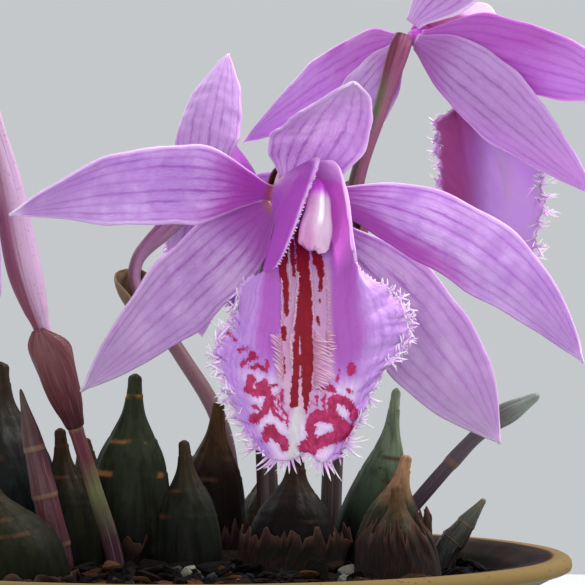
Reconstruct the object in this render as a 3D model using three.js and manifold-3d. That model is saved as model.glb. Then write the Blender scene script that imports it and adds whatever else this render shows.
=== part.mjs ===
// A pleione orchid in flower, growing in a round glazed pan.
// Millimetres, +Z up, the origin at the centre of the pan's flat foot, the front towards -Y.
// A clump of flask-shaped pseudobulbs sits half buried in bark compost. Four leafless flower
// stalks rise from it, each with a sheathing bract and one bloom: three sepals, two petals,
// a slender column, and a fringed lip that rolls into a tube round the column.

import * as THREE from "three";
import Module from "manifold-3d";
import { mergeVertices } from "three/addons/utils/BufferGeometryUtils.js";

const wasm = await Module();
wasm.setup();

// Driving dimensions
const GAP = 0.35; // clearance between pieces that touch
const BLADE = 0.7; // thickness of sepals, petals, lips and bracts

const PAN = {
  height: 52,
  rimRadius: 64.5,
  rimEdge: 2.4,
  mouthRadius: 57,
  neckRadius: 57.6,
  footRadius: 42,
  lower: { height: 16, spread: 6.5 }, // how far the belly stands out past the foot
  upper: { height: 33, inset: 3.6 }, // how far the shoulder stands in from the neck
  wall: 4.6,
  floor: 6,
  drainRadius: 3.5,
  drainCircle: 22,
  drainCount: 3,
  sides: 40,
};

const COMPOST = { level: 47.6, mound: 1.6, relief: 0.9, rings: 6, sectors: 24 };

const STALK = {
  radius: [[0, 1.9], [0.45, 1.55], [0.7, 1.35], [0.86, 1.95], [1, 1.8]],
  rings: 13,
  sides: 7,
};

const BRACT = { turn: 90, halfTurn: 155, flare: 1.1, ease: 0.25, rows: 6, columns: 7 };

const HUSK = { base: 51, flare: 1.4, ease: 0.5, tears: 0.35, rows: 4, columns: 10 };

const BULB = {
  shape: [
    [0, 0.45], [0.14, 0.86], [0.3, 1], [0.5, 0.94], [0.64, 0.74], [0.74, 0.46], [0.82, 0.27],
    [0.9, 0.19], [1, 0.14],
  ],
  rings: 11,
  sides: 8,
  foot: 38,
};

const materials = {
  glaze: new THREE.MeshStandardMaterial({ color: 0x4a3526, roughness: 0.3 }),
  compost: new THREE.MeshStandardMaterial({ color: 0x33261c, roughness: 0.95 }),
  bulb: new THREE.MeshStandardMaterial({ color: 0x39442f, roughness: 0.45 }),
  husk: new THREE.MeshStandardMaterial({ color: 0x7a4a2c, roughness: 0.8 }),
  stalk: new THREE.MeshStandardMaterial({ color: 0x7b3442, roughness: 0.5 }),
  bract: new THREE.MeshStandardMaterial({ color: 0x8a4743, roughness: 0.6 }),
  sepal: new THREE.MeshStandardMaterial({ color: 0xc79be0, roughness: 0.55 }),
  petal: new THREE.MeshStandardMaterial({ color: 0xc48be0, roughness: 0.55 }),
  lip: new THREE.MeshStandardMaterial({ color: 0xd9b4ea, roughness: 0.55 }),
  column: new THREE.MeshStandardMaterial({ color: 0xf0e2ee, roughness: 0.4 }),
};

const radians = THREE.MathUtils.degToRad;
const lerp = THREE.MathUtils.lerp;
const smoothstep = THREE.MathUtils.smoothstep;
const vector = (x, y, z) => new THREE.Vector3(x, y, z);

// A smooth curve through [position, value] pairs, level at its two ends
function along(pairs, at) {
  const last = pairs.length - 1;
  if (at <= pairs[0][0]) return pairs[0][1];
  if (at >= pairs[last][0]) return pairs[last][1];
  const k = pairs.findIndex((pair) => pair[0] > at) - 1;
  const slope = (i) => {
    if (i <= 0 || i >= last) return 0;
    return (pairs[i + 1][1] - pairs[i - 1][1]) / (pairs[i + 1][0] - pairs[i - 1][0]);
  };
  const [x0, y0] = pairs[k];
  const [x1, y1] = pairs[k + 1];
  const span = x1 - x0;
  const t = (at - x0) / span;
  const rise = (1 + 2 * t) * (1 - t) ** 2 * y0 + t * t * (3 - 2 * t) * y1;
  return rise + span * (t * (1 - t) ** 2 * slope(k) - t * t * (1 - t) * slope(k + 1));
}

// A point on the smooth curve through evenly counted points, at 0 for the first of them
function spline(points, at) {
  const last = points.length - 1;
  const k = Math.min(Math.max(Math.floor(at), 0), last - 1);
  const t = at - k;
  const mirror = (end, next) => end.clone().multiplyScalar(2).sub(next);
  const before = k > 0 ? points[k - 1] : mirror(points[0], points[1]);
  const after = k + 2 <= last ? points[k + 2] : mirror(points[last], points[last - 1]);
  const weights = [
    -t / 2 + t * t - t ** 3 / 2,
    1 - 2.5 * t * t + 1.5 * t ** 3,
    t / 2 + 2 * t * t - 1.5 * t ** 3,
    -t * t / 2 + t ** 3 / 2,
  ];
  const sum = vector(0, 0, 0);
  [before, points[k], points[k + 1], after].forEach((p, n) => sum.addScaledVector(p, weights[n]));
  return sum;
}

// Geometry from points and triangles, turned so that its faces point out
function closedGeometry(points, triangles) {
  let volume = 0;
  for (const [a, b, c] of triangles) {
    volume += points[a].dot(points[b].clone().cross(points[c]));
  }
  const turned = volume < 0 ? triangles.map(([a, b, c]) => [a, c, b]) : triangles;
  const geometry = new THREE.BufferGeometry();
  const flat = points.flatMap((p) => [p.x, p.y, p.z]);
  geometry.setAttribute("position", new THREE.Float32BufferAttribute(flat, 3));
  geometry.setIndex(turned.flat());
  return geometry;
}

// A blade of even thickness on a grid of points. Relief raises its inner face, and fringe may
// give the tip of a tooth for a step of the margin, told by its two grid places.
function bladeGeometry(grid, { relief = () => 0, fringe = () => null } = {}) {
  const rows = grid.length;
  const columns = grid[0].length;
  const normalAt = (i, j) => {
    const up = grid[Math.min(i + 1, rows - 1)][j].clone().sub(grid[Math.max(i - 1, 0)][j]);
    const left = grid[i][Math.max(j - 1, 0)];
    const across = grid[i][Math.min(j + 1, columns - 1)].clone().sub(left);
    return up.cross(across).normalize();
  };
  const points = [];
  for (const side of [1, -1]) {
    for (let i = 0; i < rows; i++) {
      for (let j = 0; j < columns; j++) {
        const offset = (side * BLADE) / 2 + (side > 0 ? relief(i, j) : 0);
        points.push(grid[i][j].clone().addScaledVector(normalAt(i, j), offset));
      }
    }
  }
  const half = rows * columns;
  const place = (i, j) => i * columns + j;
  const triangles = [];
  for (let i = 0; i < rows - 1; i++) {
    for (let j = 0; j < columns - 1; j++) {
      const [a, b] = [place(i, j), place(i, j + 1)];
      const [c, d] = [place(i + 1, j + 1), place(i + 1, j)];
      triangles.push([a, b, c], [a, c, d]);
      triangles.push([a + half, c + half, b + half], [a + half, d + half, c + half]);
    }
  }
  const margin = [];
  for (let i = 0; i < rows - 1; i++) margin.push([i, 0]);
  for (let j = 0; j < columns - 1; j++) margin.push([rows - 1, j]);
  for (let i = rows - 1; i > 0; i--) margin.push([i, columns - 1]);
  for (let j = columns - 1; j > 0; j--) margin.push([0, j]);
  margin.forEach((from, k) => {
    const to = margin[(k + 1) % margin.length];
    const [a, b] = [place(...from), place(...to)];
    const tip = fringe(from, to);
    if (tip) {
      const t = points.push(tip) - 1;
      triangles.push([a, b, t], [b, b + half, t], [b + half, a + half, t], [a + half, a, t]);
    } else {
      triangles.push([a, b, b + half], [a, b + half, a + half]);
    }
  });
  return closedGeometry(points, triangles);
}

// Rings of points joined into a closed body with flat ends
function ringGeometry(rings) {
  const sides = rings[0].length;
  const triangles = [];
  for (let i = 0; i < rings.length - 1; i++) {
    for (let k = 0; k < sides; k++) {
      const [a, b] = [i * sides + k, i * sides + ((k + 1) % sides)];
      triangles.push([a, b, b + sides], [a, b + sides, a + sides]);
    }
  }
  const last = (rings.length - 1) * sides;
  for (let k = 1; k < sides - 1; k++) {
    triangles.push([0, k + 1, k], [last, last + k, last + k + 1]);
  }
  return closedGeometry(rings.flat(), triangles);
}

// Places along a path, each with two directions square to it
function framesOn(points, count) {
  const frames = [];
  const last = points.length - 1;
  let side = vector(1, 0, 0);
  for (let i = 0; i < count; i++) {
    const at = (i / (count - 1)) * last;
    const ahead = spline(points, Math.min(at + 0.05, last));
    ahead.sub(spline(points, Math.max(at - 0.05, 0))).normalize();
    side = side.clone().addScaledVector(ahead, -side.dot(ahead)).normalize();
    const other = ahead.clone().cross(side);
    frames.push({ at: at / last, centre: spline(points, at), side, other });
  }
  return frames;
}

function around(frame, radius, turn) {
  return frame.centre
    .clone()
    .addScaledVector(frame.side, radius * Math.cos(turn))
    .addScaledVector(frame.other, radius * Math.sin(turn));
}

// A round rod on a path, its radius told by its place from 0 to 1
function rodGeometry(points, radiusAt, count, sides) {
  const rings = framesOn(points, count).map((frame) => {
    const turns = Array.from({ length: sides }, (_, k) => (2 * Math.PI * k) / sides);
    return turns.map((turn) => around(frame, radiusAt(frame.at), turn));
  });
  return ringGeometry(rings);
}

function solidFrom(geometry) {
  const bare = geometry.clone();
  for (const name of Object.keys(bare.attributes)) {
    if (name !== "position") bare.deleteAttribute(name);
  }
  const merged = mergeVertices(bare, 1e-4);
  return new wasm.Manifold(
    new wasm.Mesh({
      numProp: 3,
      vertProperties: Float32Array.from(merged.attributes.position.array),
      triVerts: Uint32Array.from(merged.index.array),
    }),
  );
}

function geometryFrom(solid) {
  const { vertProperties, triVerts, numProp } = solid.getMesh();
  const flat = [];
  for (let i = 0; i < vertProperties.length; i += numProp) {
    flat.push(vertProperties[i], vertProperties[i + 1], vertProperties[i + 2]);
  }
  const geometry = new THREE.BufferGeometry();
  geometry.setAttribute("position", new THREE.Float32BufferAttribute(flat, 3));
  geometry.setIndex([...triVerts]);
  return geometry;
}

function named(name, geometry, material) {
  const mesh = new THREE.Mesh(geometry, materials[material]);
  mesh.name = name;
  return mesh;
}

// Sepals and petals. Bearing turns from the bloom's right towards its top, lean is forward out
// of its face, twist is about the blade's own length; each is given at the base and at the tip.
// Swell above 1 moves the widest place towards the tip.
const OUTLINES = {
  sepal: [
    [0, 0.24], [0.08, 0.5], [0.16, 0.8], [0.27, 0.97], [0.38, 1], [0.5, 0.97], [0.65, 0.8],
    [0.82, 0.48], [0.93, 0.2], [1, 0.03],
  ],
  petal: [
    [0, 0.2], [0.08, 0.45], [0.16, 0.76], [0.25, 0.96], [0.36, 1], [0.5, 0.97], [0.64, 0.82],
    [0.8, 0.5], [0.92, 0.22], [1, 0.03],
  ],
};

const TEPALS = {
  dorsal_sepal: { kind: "sepal", bearing: [90, 92], lean: [28, 60], length: 42, width: 14 },
  left_petal: { kind: "petal", bearing: [176, 196], lean: [14, 16], length: 50, width: 12.6 },
  right_petal: { kind: "petal", bearing: [4, -16], lean: [14, 16], length: 50, width: 12.6 },
  left_sepal: { kind: "sepal", bearing: [226, 232], lean: [4, 10], length: 47, width: 14 },
  right_sepal: { kind: "sepal", bearing: [314, 308], lean: [4, 10], length: 47, width: 14 },
};

const TEPAL_ROOT = { sepal: { start: 2.4, ahead: 0 }, petal: { start: 2.4, ahead: 1.15 } };

function tepalGrid(tepal, rows, columns, size) {
  const { kind, bearing, lean, length, width } = tepal;
  const { cup = 0.22, twist = [0, 0], swell = 1 } = tepal;
  const { start, ahead: depth } = TEPAL_ROOT[kind];
  const first = radians(bearing[0]);
  const point = vector(Math.cos(first) * start, -depth, Math.sin(first) * start);
  const grid = [];
  const fine = 4;
  const steps = (rows - 1) * fine;
  for (let step = 0; step <= steps; step++) {
    const s = step / steps;
    const b = radians(lerp(bearing[0], bearing[1], s));
    const l = radians(lerp(lean[0], lean[1], s));
    const ahead = vector(Math.cos(l) * Math.cos(b), -Math.sin(l), Math.cos(l) * Math.sin(b));
    if (step > 0) point.addScaledVector(ahead, length / steps);
    if (step % fine) continue;
    const turn = radians(lerp(twist[0], twist[1], s));
    const across = vector(-Math.sin(b), 0, Math.cos(b)).applyAxisAngle(ahead, turn);
    const facing = ahead.clone().cross(across);
    const half = (width / 2) * along(OUTLINES[kind], s ** swell);
    const row = [];
    for (let j = 0; j < columns; j++) {
      const t = (2 * j) / (columns - 1) - 1;
      const place = point.clone().addScaledVector(across, half * t);
      row.push(place.addScaledVector(facing, cup * half * t * t).multiplyScalar(size));
    }
    grid.push(row);
  }
  return grid;
}

// The lip follows seven lines that run from its throat to its notched tip, told as right, forward
// and up in the bloom's own frame. At first they close into a tube, then the side lobes open and
// fold out, and the last stretch hangs down as the front lobe.
const LIP = {
  lines: [
    // left margin
    [
      [-0.6, 3, 2.6], [-0.7, 8, 4.4], [-0.7, 13.4, 6], [-1, 17.8, 5.6], [-2.6, 18.2, -1],
      [-4.1, 18.4, -7.2], [-6, 18, -12.2], [-10, 15.6, -15.4], [-10.8, 15.8, -18.8],
      [-11.6, 17.8, -22.2], [-13.9, 19, -25.6], [-13.5, 20.6, -30], [-11.6, 22, -34.4],
      [-8.9, 22.8, -38.6], [-6, 23.6, -42.2],
    ],
    // left wall
    [
      [-2.3, 2.8, 1.2], [-3.9, 7.4, 1.6], [-5, 12, 1.6], [-5.2, 15.4, -0.8], [-6, 16.6, -5],
      [-7.2, 17.5, -9.4], [-8, 18.5, -13.4], [-8.6, 19.1, -17], [-9, 19.9, -20.8],
      [-9.6, 20.7, -24.8], [-9.9, 21.2, -28.6], [-9.5, 22.2, -32.2], [-8, 23, -36],
      [-6, 23.6, -39.6], [-3.4, 24.3, -43],
    ],
    // left floor
    [
      [-2.3, 2.5, -1], [-3.6, 6.8, -2.4], [-4.8, 10.8, -4.2], [-5, 13.4, -6.6], [-5.4, 15, -9.2],
      [-5.4, 16.4, -12.2], [-5.2, 17.8, -15.6], [-5, 18.8, -19.4], [-5.4, 20, -23],
      [-5.8, 21.2, -26.6], [-5.8, 22.2, -30], [-5.4, 23, -33.4], [-4.4, 23.8, -36.6],
      [-3, 24.2, -39.8], [-1, 24.6, -42.6],
    ],
    // keel
    [
      [0, 2.4, -2.5], [0, 6.4, -4.4], [0, 10.2, -6.6], [0, 12.6, -8.8], [0, 14.4, -10.8],
      [0, 16.4, -13.4], [0, 18.2, -16.6], [0, 19.6, -20], [0, 20.8, -23.4], [0, 21.8, -26.8],
      [0, 22.7, -30.2], [0, 23.4, -33.6], [0, 24, -36.8], [0.6, 24.4, -39.4], [1.6, 24.6, -41],
    ],
    // right floor
    [
      [2.3, 2.5, -1], [3.6, 6.8, -2.4], [4.8, 10.8, -4.2], [5.2, 13.6, -6.6], [5.2, 15.2, -9],
      [5.1, 16.8, -12], [5.1, 18.2, -15.4], [5.4, 19.4, -19], [5.8, 20.4, -22.6],
      [6.2, 21.4, -26.2], [6.2, 22.4, -29.8], [5.6, 23.2, -33.4], [4.8, 23.8, -36.6],
      [4, 24.2, -39.8], [3.4, 24.5, -42.2],
    ],
    // right wall
    [
      [2.3, 2.8, 1.2], [3.9, 7.4, 1.6], [5.2, 12, 1.6], [5.6, 16, -0.5], [6, 17.4, -4],
      [6.6, 19.2, -8.6], [7.4, 20.4, -12.8], [8.9, 21.1, -16.4], [10.2, 21.6, -20],
      [10.6, 21.8, -24.2], [9.8, 22.3, -28.4], [8.8, 22.8, -31.8], [7.6, 23.4, -35.8],
      [6.4, 23.8, -39.4], [4.8, 24.3, -42.4],
    ],
    // right margin
    [
      [0.6, 3, 2.6], [0.7, 8, 4.4], [0.9, 13.4, 6], [2, 18.4, 5.4], [4.2, 19.4, -0.6],
      [5.8, 19.7, -6.4], [8.2, 19.5, -11], [14.2, 18, -13.2], [18.2, 17.4, -17.4],
      [18.4, 18.2, -21.2], [15, 20, -25], [12.4, 21.4, -29.4], [10.6, 22.4, -33.8],
      [8.8, 23.2, -38], [6.6, 23.8, -41.4],
    ],
  ],
  fringeFrom: 6.2,
  fringe: 2.2,
  ruffle: 0.45,
  ridges: [0.2, 0.7], // where the raised keels run, counted from the lip's middle
  ridgeHeight: 0.8,
};

// Places across the lip, counted from the keel at 0 to the margin at 3
const LIP_PLACES = {
  fine: { rows: 26, across: [0, 0.1, 0.2, 0.32, 0.52, 0.7, 0.88, 1.3, 1.8, 2.3, 2.7, 3] },
  plain: { rows: 14, across: [0, 0.2, 0.45, 0.7, 1.4, 2.2, 3] },
};

function lipGeometry({ detail, mirrored, size }) {
  const { rows, across } = LIP_PLACES[detail];
  const hand = mirrored ? -1 : 1;
  const lines = LIP.lines.map((line) => {
    return line.map(([right, ahead, up]) => vector(hand * right, -ahead, up));
  });
  if (mirrored) lines.reverse();
  const places = [...across.slice(1).toReversed().map((u) => -u), ...across];
  const last = lines[0].length - 1;
  const ribAt = (i) => (i / (rows - 1)) * last;
  const grid = [];
  for (let i = 0; i < rows; i++) {
    const v = ribAt(i);
    const rib = lines.map((line) => spline(line, v));
    const row = places.map((u) => {
      const point = spline(rib, u + 3);
      const wave = LIP.ruffle * Math.abs(u / 3) ** 3 * smoothstep(v, 5, 8);
      return point.add(vector(0, wave * Math.sin(3.4 * v + u), 0)).multiplyScalar(size);
    });
    grid.push(row);
  }
  const relief = (i, j) => {
    const v = ribAt(i);
    const strength = smoothstep(v, 2.5, 4.5) * (1 - smoothstep(v, 10.6, 12.4));
    const ridge = LIP.ridges.some((u) => Math.abs(Math.abs(places[j]) - u) < 0.01);
    return ridge ? LIP.ridgeHeight * size * strength * (i % 2 ? 1 : 0.6) : 0;
  };
  const inside = ([i, j]) => {
    const row = i === rows - 1 ? i - 1 : i;
    return grid[row][Math.min(Math.max(j, 1), places.length - 2)];
  };
  const fringe = (from, to) => {
    const v = ribAt((from[0] + to[0]) / 2);
    const step = grid[from[0]][from[1]].distanceTo(grid[to[0]][to[1]]);
    if (v < LIP.fringeFrom || step < 0.9 * size) return null;
    const edge = grid[from[0]][from[1]].clone().lerp(grid[to[0]][to[1]], 0.5);
    const root = inside(from).clone().lerp(inside(to), 0.5);
    const away = edge.clone().sub(root).normalize();
    const beat = from[0] * 3 + from[1] * 2;
    const long = LIP.fringe * size * (0.8 + 0.3 * Math.sin(2.7 * beat));
    return edge.addScaledVector(away, long).add(vector(0, 0.4 * Math.sin(1.9 * beat), 0));
  };
  return bladeGeometry(grid, { relief, fringe });
}

// The column arches over the lip's floor and ends in a broad hooded tip
const COLUMN = {
  path: [
    [0, 1.2, -0.4], [0.1, 5, 0.9], [0.2, 9.5, 1.9], [0.3, 13, 1.9], [0.4, 15.8, 0.2],
    [0.5, 17.2, -3.4], [0.6, 17.4, -8.4],
  ],
  halfWidth: [[0, 1.5], [0.35, 1.5], [0.6, 1.7], [0.8, 2.4], [1, 3]],
  halfDepth: [[0, 1.3], [0.5, 1.3], [0.8, 1.2], [1, 0.7]],
  rings: 9,
  sides: 8,
};

function columnGeometry({ mirrored, size }) {
  const hand = mirrored ? -1 : 1;
  const path = COLUMN.path.map(([right, ahead, up]) => vector(hand * right, -ahead, up));
  const rings = framesOn(path, COLUMN.rings).map((frame) => {
    const wide = along(COLUMN.halfWidth, frame.at);
    const deep = along(COLUMN.halfDepth, frame.at);
    return Array.from({ length: COLUMN.sides }, (_, k) => {
      const turn = (2 * Math.PI * k) / COLUMN.sides;
      return frame.centre
        .clone()
        .addScaledVector(frame.side, wide * Math.cos(turn))
        .addScaledVector(frame.other, deep * Math.sin(turn))
        .multiplyScalar(size);
    });
  });
  return ringGeometry(rings);
}

// The blooms. Centre is where sepals and petals meet; yaw, nod and roll turn the bloom from
// facing straight to the front; path runs from inside the compost to behind the centre, and
// bract tells the stretch of it that the bract hugs.
const BLOOMS = [
  {
    name: "front",
    centre: [15.7, -8, 112],
    turn: { yaw: 20, nod: 2, roll: 8 },
    size: 1,
    mirrored: false,
    detail: "fine",
    rows: 13,
    columns: 7,
    path: [
      [13.4, 15, 38], [13, 17, 60], [12.2, 18.5, 84], [13.4, 17.6, 101], [16.2, 13.4, 111.6],
      [17.2, 6.6, 115.6], [16.6, -0.8, 115], [15.6, -6.2, 112.7],
    ],
    bract: [0.5, 0.72],
    tepals: {
      dorsal_sepal: {
        bearing: [75, 121],
        lean: [36, 79],
        length: 32,
        width: 16,
        twist: [-1, -7],
      },
      left_petal: {
        bearing: [178, 206.5],
        lean: [13.5, 12.5],
        length: 50,
        width: 12.9,
        twist: [-3, -12],
        swell: 1.1,
      },
      right_petal: {
        bearing: [7.5, -51.5],
        lean: [10, 15],
        length: 58,
        width: 12.9,
        twist: [0, 6],
        swell: 1.4,
      },
      left_sepal: {
        bearing: [228, 230.5],
        lean: [4, 10.5],
        length: 46.5,
        width: 13.7,
        twist: [0, -4],
      },
      right_sepal: {
        bearing: [327, 313],
        lean: [5, 7],
        length: 54,
        width: 17,
        twist: [1, 8],
        swell: 1.5,
      },
    },
  },
  {
    name: "right",
    centre: [38.2, 44, 142.6],
    turn: { yaw: 128, nod: -2, roll: -2 },
    size: 1,
    mirrored: true,
    detail: "plain",
    rows: 8,
    columns: 5,
    path: [
      [24, 30, 38], [24.2, 30.5, 60], [25.6, 35, 85], [27.4, 40, 107], [29.4, 41.6, 118],
      [33.2, 41.6, 129], [36.2, 41.8, 138.6], [37.5, 43, 142.2],
    ],
    bract: [0.34, 0.55],
    tepals: {
      dorsal_sepal: { bearing: [116, 114], width: 17 },
      left_petal: { bearing: [188, 202] },
      right_petal: { bearing: [-17, -29], lean: [0, -9], length: 48 },
      left_sepal: { bearing: [210, 217], lean: [6, 8], length: 50 },
      right_sepal: { bearing: [314, 312], lean: [-8, -14], length: 40, width: 12.6 },
    },
  },
  {
    name: "rear",
    centre: [1, 50, 113.5],
    turn: { yaw: 160, nod: -25, roll: 4 },
    size: 0.88,
    mirrored: false,
    detail: "plain",
    rows: 8,
    columns: 5,
    path: [
      [7.6, 30, 38], [7.2, 30, 52], [4.8, 31, 71.5], [-3, 38, 85], [-10.4, 43, 95],
      [-11, 45, 101.5], [-6.4, 47, 107], [-0.4, 48.9, 112.2],
    ],
    bract: [0.5, 0.7],
    tepals: {
      dorsal_sepal: { lean: [36, 78], length: 35 },
      left_petal: { bearing: [198, 228], lean: [24, 46], length: 44 },
      right_petal: { bearing: [-2, -14], lean: [14, 30] },
      left_sepal: { bearing: [220, 234], lean: [10, 26] },
      right_sepal: { bearing: [296, 284], lean: [10, 26], length: 40 },
    },
  },
  {
    name: "left",
    centre: [-34.3, -15, 129],
    turn: { yaw: -97, nod: 4, roll: 3 },
    size: 0.95,
    mirrored: true,
    detail: "plain",
    rows: 8,
    columns: 5,
    path: [
      [-10.8, -5, 38], [-12.4, -6, 51.5], [-15.6, -8, 63], [-18.8, -11, 74], [-21.6, -13, 83],
      [-24.4, -14.4, 91.5], [-27, -15, 100.5], [-29, -15, 111], [-31.3, -15, 121.5],
      [-33.2, -15, 128.9],
    ],
    radius: [
      [0, 1.7], [0.3, 1.3], [0.54, 1.5], [0.58, 2.2], [0.66, 3], [0.8, 2.6], [0.9, 1.8],
      [1, 1.6],
    ],
    bract: [0.33, 0.54],
    bractTurn: -100,
    tepals: {},
  },
];

const points = (list) => list.map((p) => vector(...p));

const stalkRadius = (bloom, at) => along(bloom.radius ?? STALK.radius, at) * bloom.size;

function stalkGeometry(bloom, clearance) {
  const radiusAt = (at) => stalkRadius(bloom, at) + clearance;
  return rodGeometry(points(bloom.path), radiusAt, STALK.rings, STALK.sides);
}

function bractGeometry(bloom) {
  const places = 61;
  const frames = framesOn(points(bloom.path), places);
  const grid = [];
  for (let i = 0; i < BRACT.rows; i++) {
    const s = i / (BRACT.rows - 1);
    const frame = frames[Math.round(lerp(...bloom.bract, s) * (places - 1))];
    const clear = stalkRadius(bloom, frame.at) + GAP + BLADE / 2;
    const radius = clear + BRACT.ease + BRACT.flare * Math.sin(Math.PI * 0.8 * s) ** 2;
    const half = radians(BRACT.halfTurn) * (1 - 0.86 * s ** 3);
    const row = [];
    for (let j = 0; j < BRACT.columns; j++) {
      const t = (2 * j) / (BRACT.columns - 1) - 1;
      row.push(around(frame, radius, radians(bloom.bractTurn ?? BRACT.turn) + half * t));
    }
    grid.push(row);
  }
  return bladeGeometry(grid);
}

function bloomGroup(bloom) {
  const { yaw, nod, roll } = bloom.turn;
  const group = new THREE.Group();
  group.position.set(...bloom.centre);
  group.rotation.set(radians(nod), radians(roll), radians(yaw), "ZXY");
  for (const [part, usual] of Object.entries(TEPALS)) {
    const tepal = { ...usual, ...bloom.tepals[part] };
    const grid = tepalGrid(tepal, bloom.rows, bloom.columns, bloom.size);
    group.add(named(`${bloom.name}_${part}`, bladeGeometry(grid), usual.kind));
  }
  group.add(named(`${bloom.name}_lip`, lipGeometry(bloom), "lip"));
  group.add(named(`${bloom.name}_column`, columnGeometry(bloom), "column"));
  return group;
}

// Pseudobulbs: foot is where one stands in the compost, tip its top, bend a sideways bow
const BULBS = [
  { name: "bulb_left_front", foot: [-30, -24], tip: [-33, -25, 67], radius: 12 },
  { name: "bulb_left_rear", foot: [-34, 13], tip: [-33.4, 13, 84], radius: 11.6 },
  { name: "bulb_left_inner", foot: [-20.5, 0], tip: [-22, 1, 73], radius: 6 },
  { name: "bulb_tall", foot: [-11, 10], tip: [-9.6, 9, 82], radius: 7.5 },
  { name: "bulb_grey", foot: [0, 0], tip: [-1, 0, 71], radius: 5.6 },
  { name: "bulb_middle", foot: [17, -2], tip: [18, -1, 69], radius: 8.2 },
  { name: "bulb_maroon", foot: [2.5, 20.5], tip: [4.5, 21, 77], radius: 6.5 },
  {
    name: "bulb_green_tip",
    foot: [28.5, 12],
    tip: [35.2, 10, 79.5],
    radius: 5.2,
    bend: [1.6, 0, -1],
  },
  { name: "bulb_tan_tip", foot: [32.6, -1], tip: [36.6, 0, 68.5], radius: 6 },
  { name: "bulb_right_front", foot: [34.6, -15], tip: [34.6, -13, 64], radius: 6.4 },
  { name: "bulb_rear_left", foot: [-18, 33], tip: [-20, 34, 70], radius: 8 },
  { name: "bulb_rear_middle", foot: [12, 43], tip: [13, 43, 66], radius: 6.5 },
];

function bulbGeometry({ foot, tip, radius, bend = [0, 0, 0] }, clearance) {
  const from = vector(foot[0], foot[1], BULB.foot - clearance);
  const to = vector(...tip);
  const straight = (at) => from.clone().lerp(to, at);
  const path = [0, 0.35, 0.7, 1].map((at, k) => {
    const upright = vector(foot[0], foot[1], straight(at).z);
    const bowed = upright.lerp(straight(at), at);
    return k === 2 ? bowed.add(vector(...bend)) : bowed;
  });
  const radiusAt = (at) => radius * along(BULB.shape, at) + clearance;
  return rodGeometry(path, radiusAt, BULB.rings, BULB.sides);
}

// A spent flower stalk, a new shoot, and a small side shoot
const RODS = [
  {
    name: "dry_stalk",
    material: "husk",
    path: [[32, 24, 38], [34.6, 24, 52], [40.4, 24, 60.5], [51, 23, 72], [60.5, 22, 78]],
    radius: [[0, 1.2], [0.7, 1.2], [0.85, 1.7], [1, 0.7]],
  },
  {
    name: "new_shoot",
    material: "stalk",
    path: [[-19.5, -13, 38], [-21, -13.5, 51], [-23.8, -14, 64], [-27.5, -14, 80]],
    radius: [[0, 2], [0.5, 2.2], [0.85, 1.5], [1, 0.4]],
  },
  {
    name: "side_shoot",
    material: "bulb",
    path: [[41.5, 8, 38], [43, 8, 50], [46, 8, 55], [50.2, 8, 60.6]],
    radius: [[0, 2], [0.5, 2.2], [0.8, 1.4], [1, 0.5]],
  },
];

function rodOf({ path, radius }, clearance) {
  return rodGeometry(points(path), (at) => along(radius, at) + clearance, 9, 7);
}

// Papery sheaths left round the feet of some bulbs
const HUSKS = [
  { name: "husk_right_front", bulb: "bulb_right_front", turn: -100, halfTurn: 120, top: 59 },
  { name: "husk_tan_tip", bulb: "bulb_tan_tip", turn: -30, halfTurn: 60, top: 60 },
  { name: "husk_middle", bulb: "bulb_middle", turn: -70, halfTurn: 105, top: 57 },
];

function huskGeometry({ bulb, turn, halfTurn, top }) {
  const { foot, tip, radius } = BULBS.find(({ name }) => name === bulb);
  const { base, flare, ease, tears, rows, columns } = HUSK;
  const grid = [];
  for (let i = 0; i < rows; i++) {
    const s = i / (rows - 1);
    const row = [];
    for (let j = 0; j < columns; j++) {
      const t = (2 * j) / (columns - 1) - 1;
      const ragged = 1 - tears * Math.abs(Math.sin(2.6 * j));
      const z = base + (top - base) * s * ragged;
      const at = (z - BULB.foot) / (tip[2] - BULB.foot);
      const out = radius * along(BULB.shape, at) + GAP + BLADE / 2 + ease + flare * s;
      const angle = radians(turn + halfTurn * t);
      const middle = vector(foot[0], foot[1], z).lerp(vector(tip[0], tip[1], z), at * at);
      row.push(middle.add(vector(out * Math.cos(angle), out * Math.sin(angle), 0)));
    }
    grid.push(row);
  }
  return bladeGeometry(grid);
}

// The pan: a shallow bowl with an out-turned rim and drain holes
function panGeometry() {
  const { height, rimRadius, rimEdge, mouthRadius, neckRadius, footRadius, wall, floor } = PAN;
  const { lower, upper } = PAN;
  const outline = [
    [0, 0],
    [footRadius - 1, 0],
    [footRadius, 1],
    [footRadius + lower.spread, lower.height],
    [neckRadius - upper.inset, upper.height],
    [neckRadius, height - 5.5],
    [rimRadius - 2.2, height - rimEdge - 0.6],
    [rimRadius, height - rimEdge],
    [rimRadius, height - 0.7],
    [rimRadius - 1.2, height],
    [mouthRadius + 1.5, height - 0.4],
    [mouthRadius - 1.6, height - 2.2],
    [neckRadius - wall, height - 6],
    [neckRadius - upper.inset - wall, upper.height],
    [footRadius + lower.spread - wall, lower.height],
    [footRadius - wall - 2, floor + 1],
    [footRadius - wall - 4.5, floor],
    [0, floor],
  ];
  const profile = outline.map(([r, z]) => new THREE.Vector2(r, z));
  const lathe = new THREE.LatheGeometry(profile, PAN.sides).rotateX(Math.PI / 2);
  let solid = solidFrom(lathe);
  for (let k = 0; k < PAN.drainCount; k++) {
    const turn = radians(90 + (360 * k) / PAN.drainCount);
    const hole = new THREE.CylinderGeometry(PAN.drainRadius, PAN.drainRadius, floor + 4, 20);
    hole.rotateX(Math.PI / 2);
    hole.translate(PAN.drainCircle * Math.cos(turn), PAN.drainCircle * Math.sin(turn), floor / 2);
    solid = solid.subtract(solidFrom(hole));
  }
  return geometryFrom(solid);
}

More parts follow.
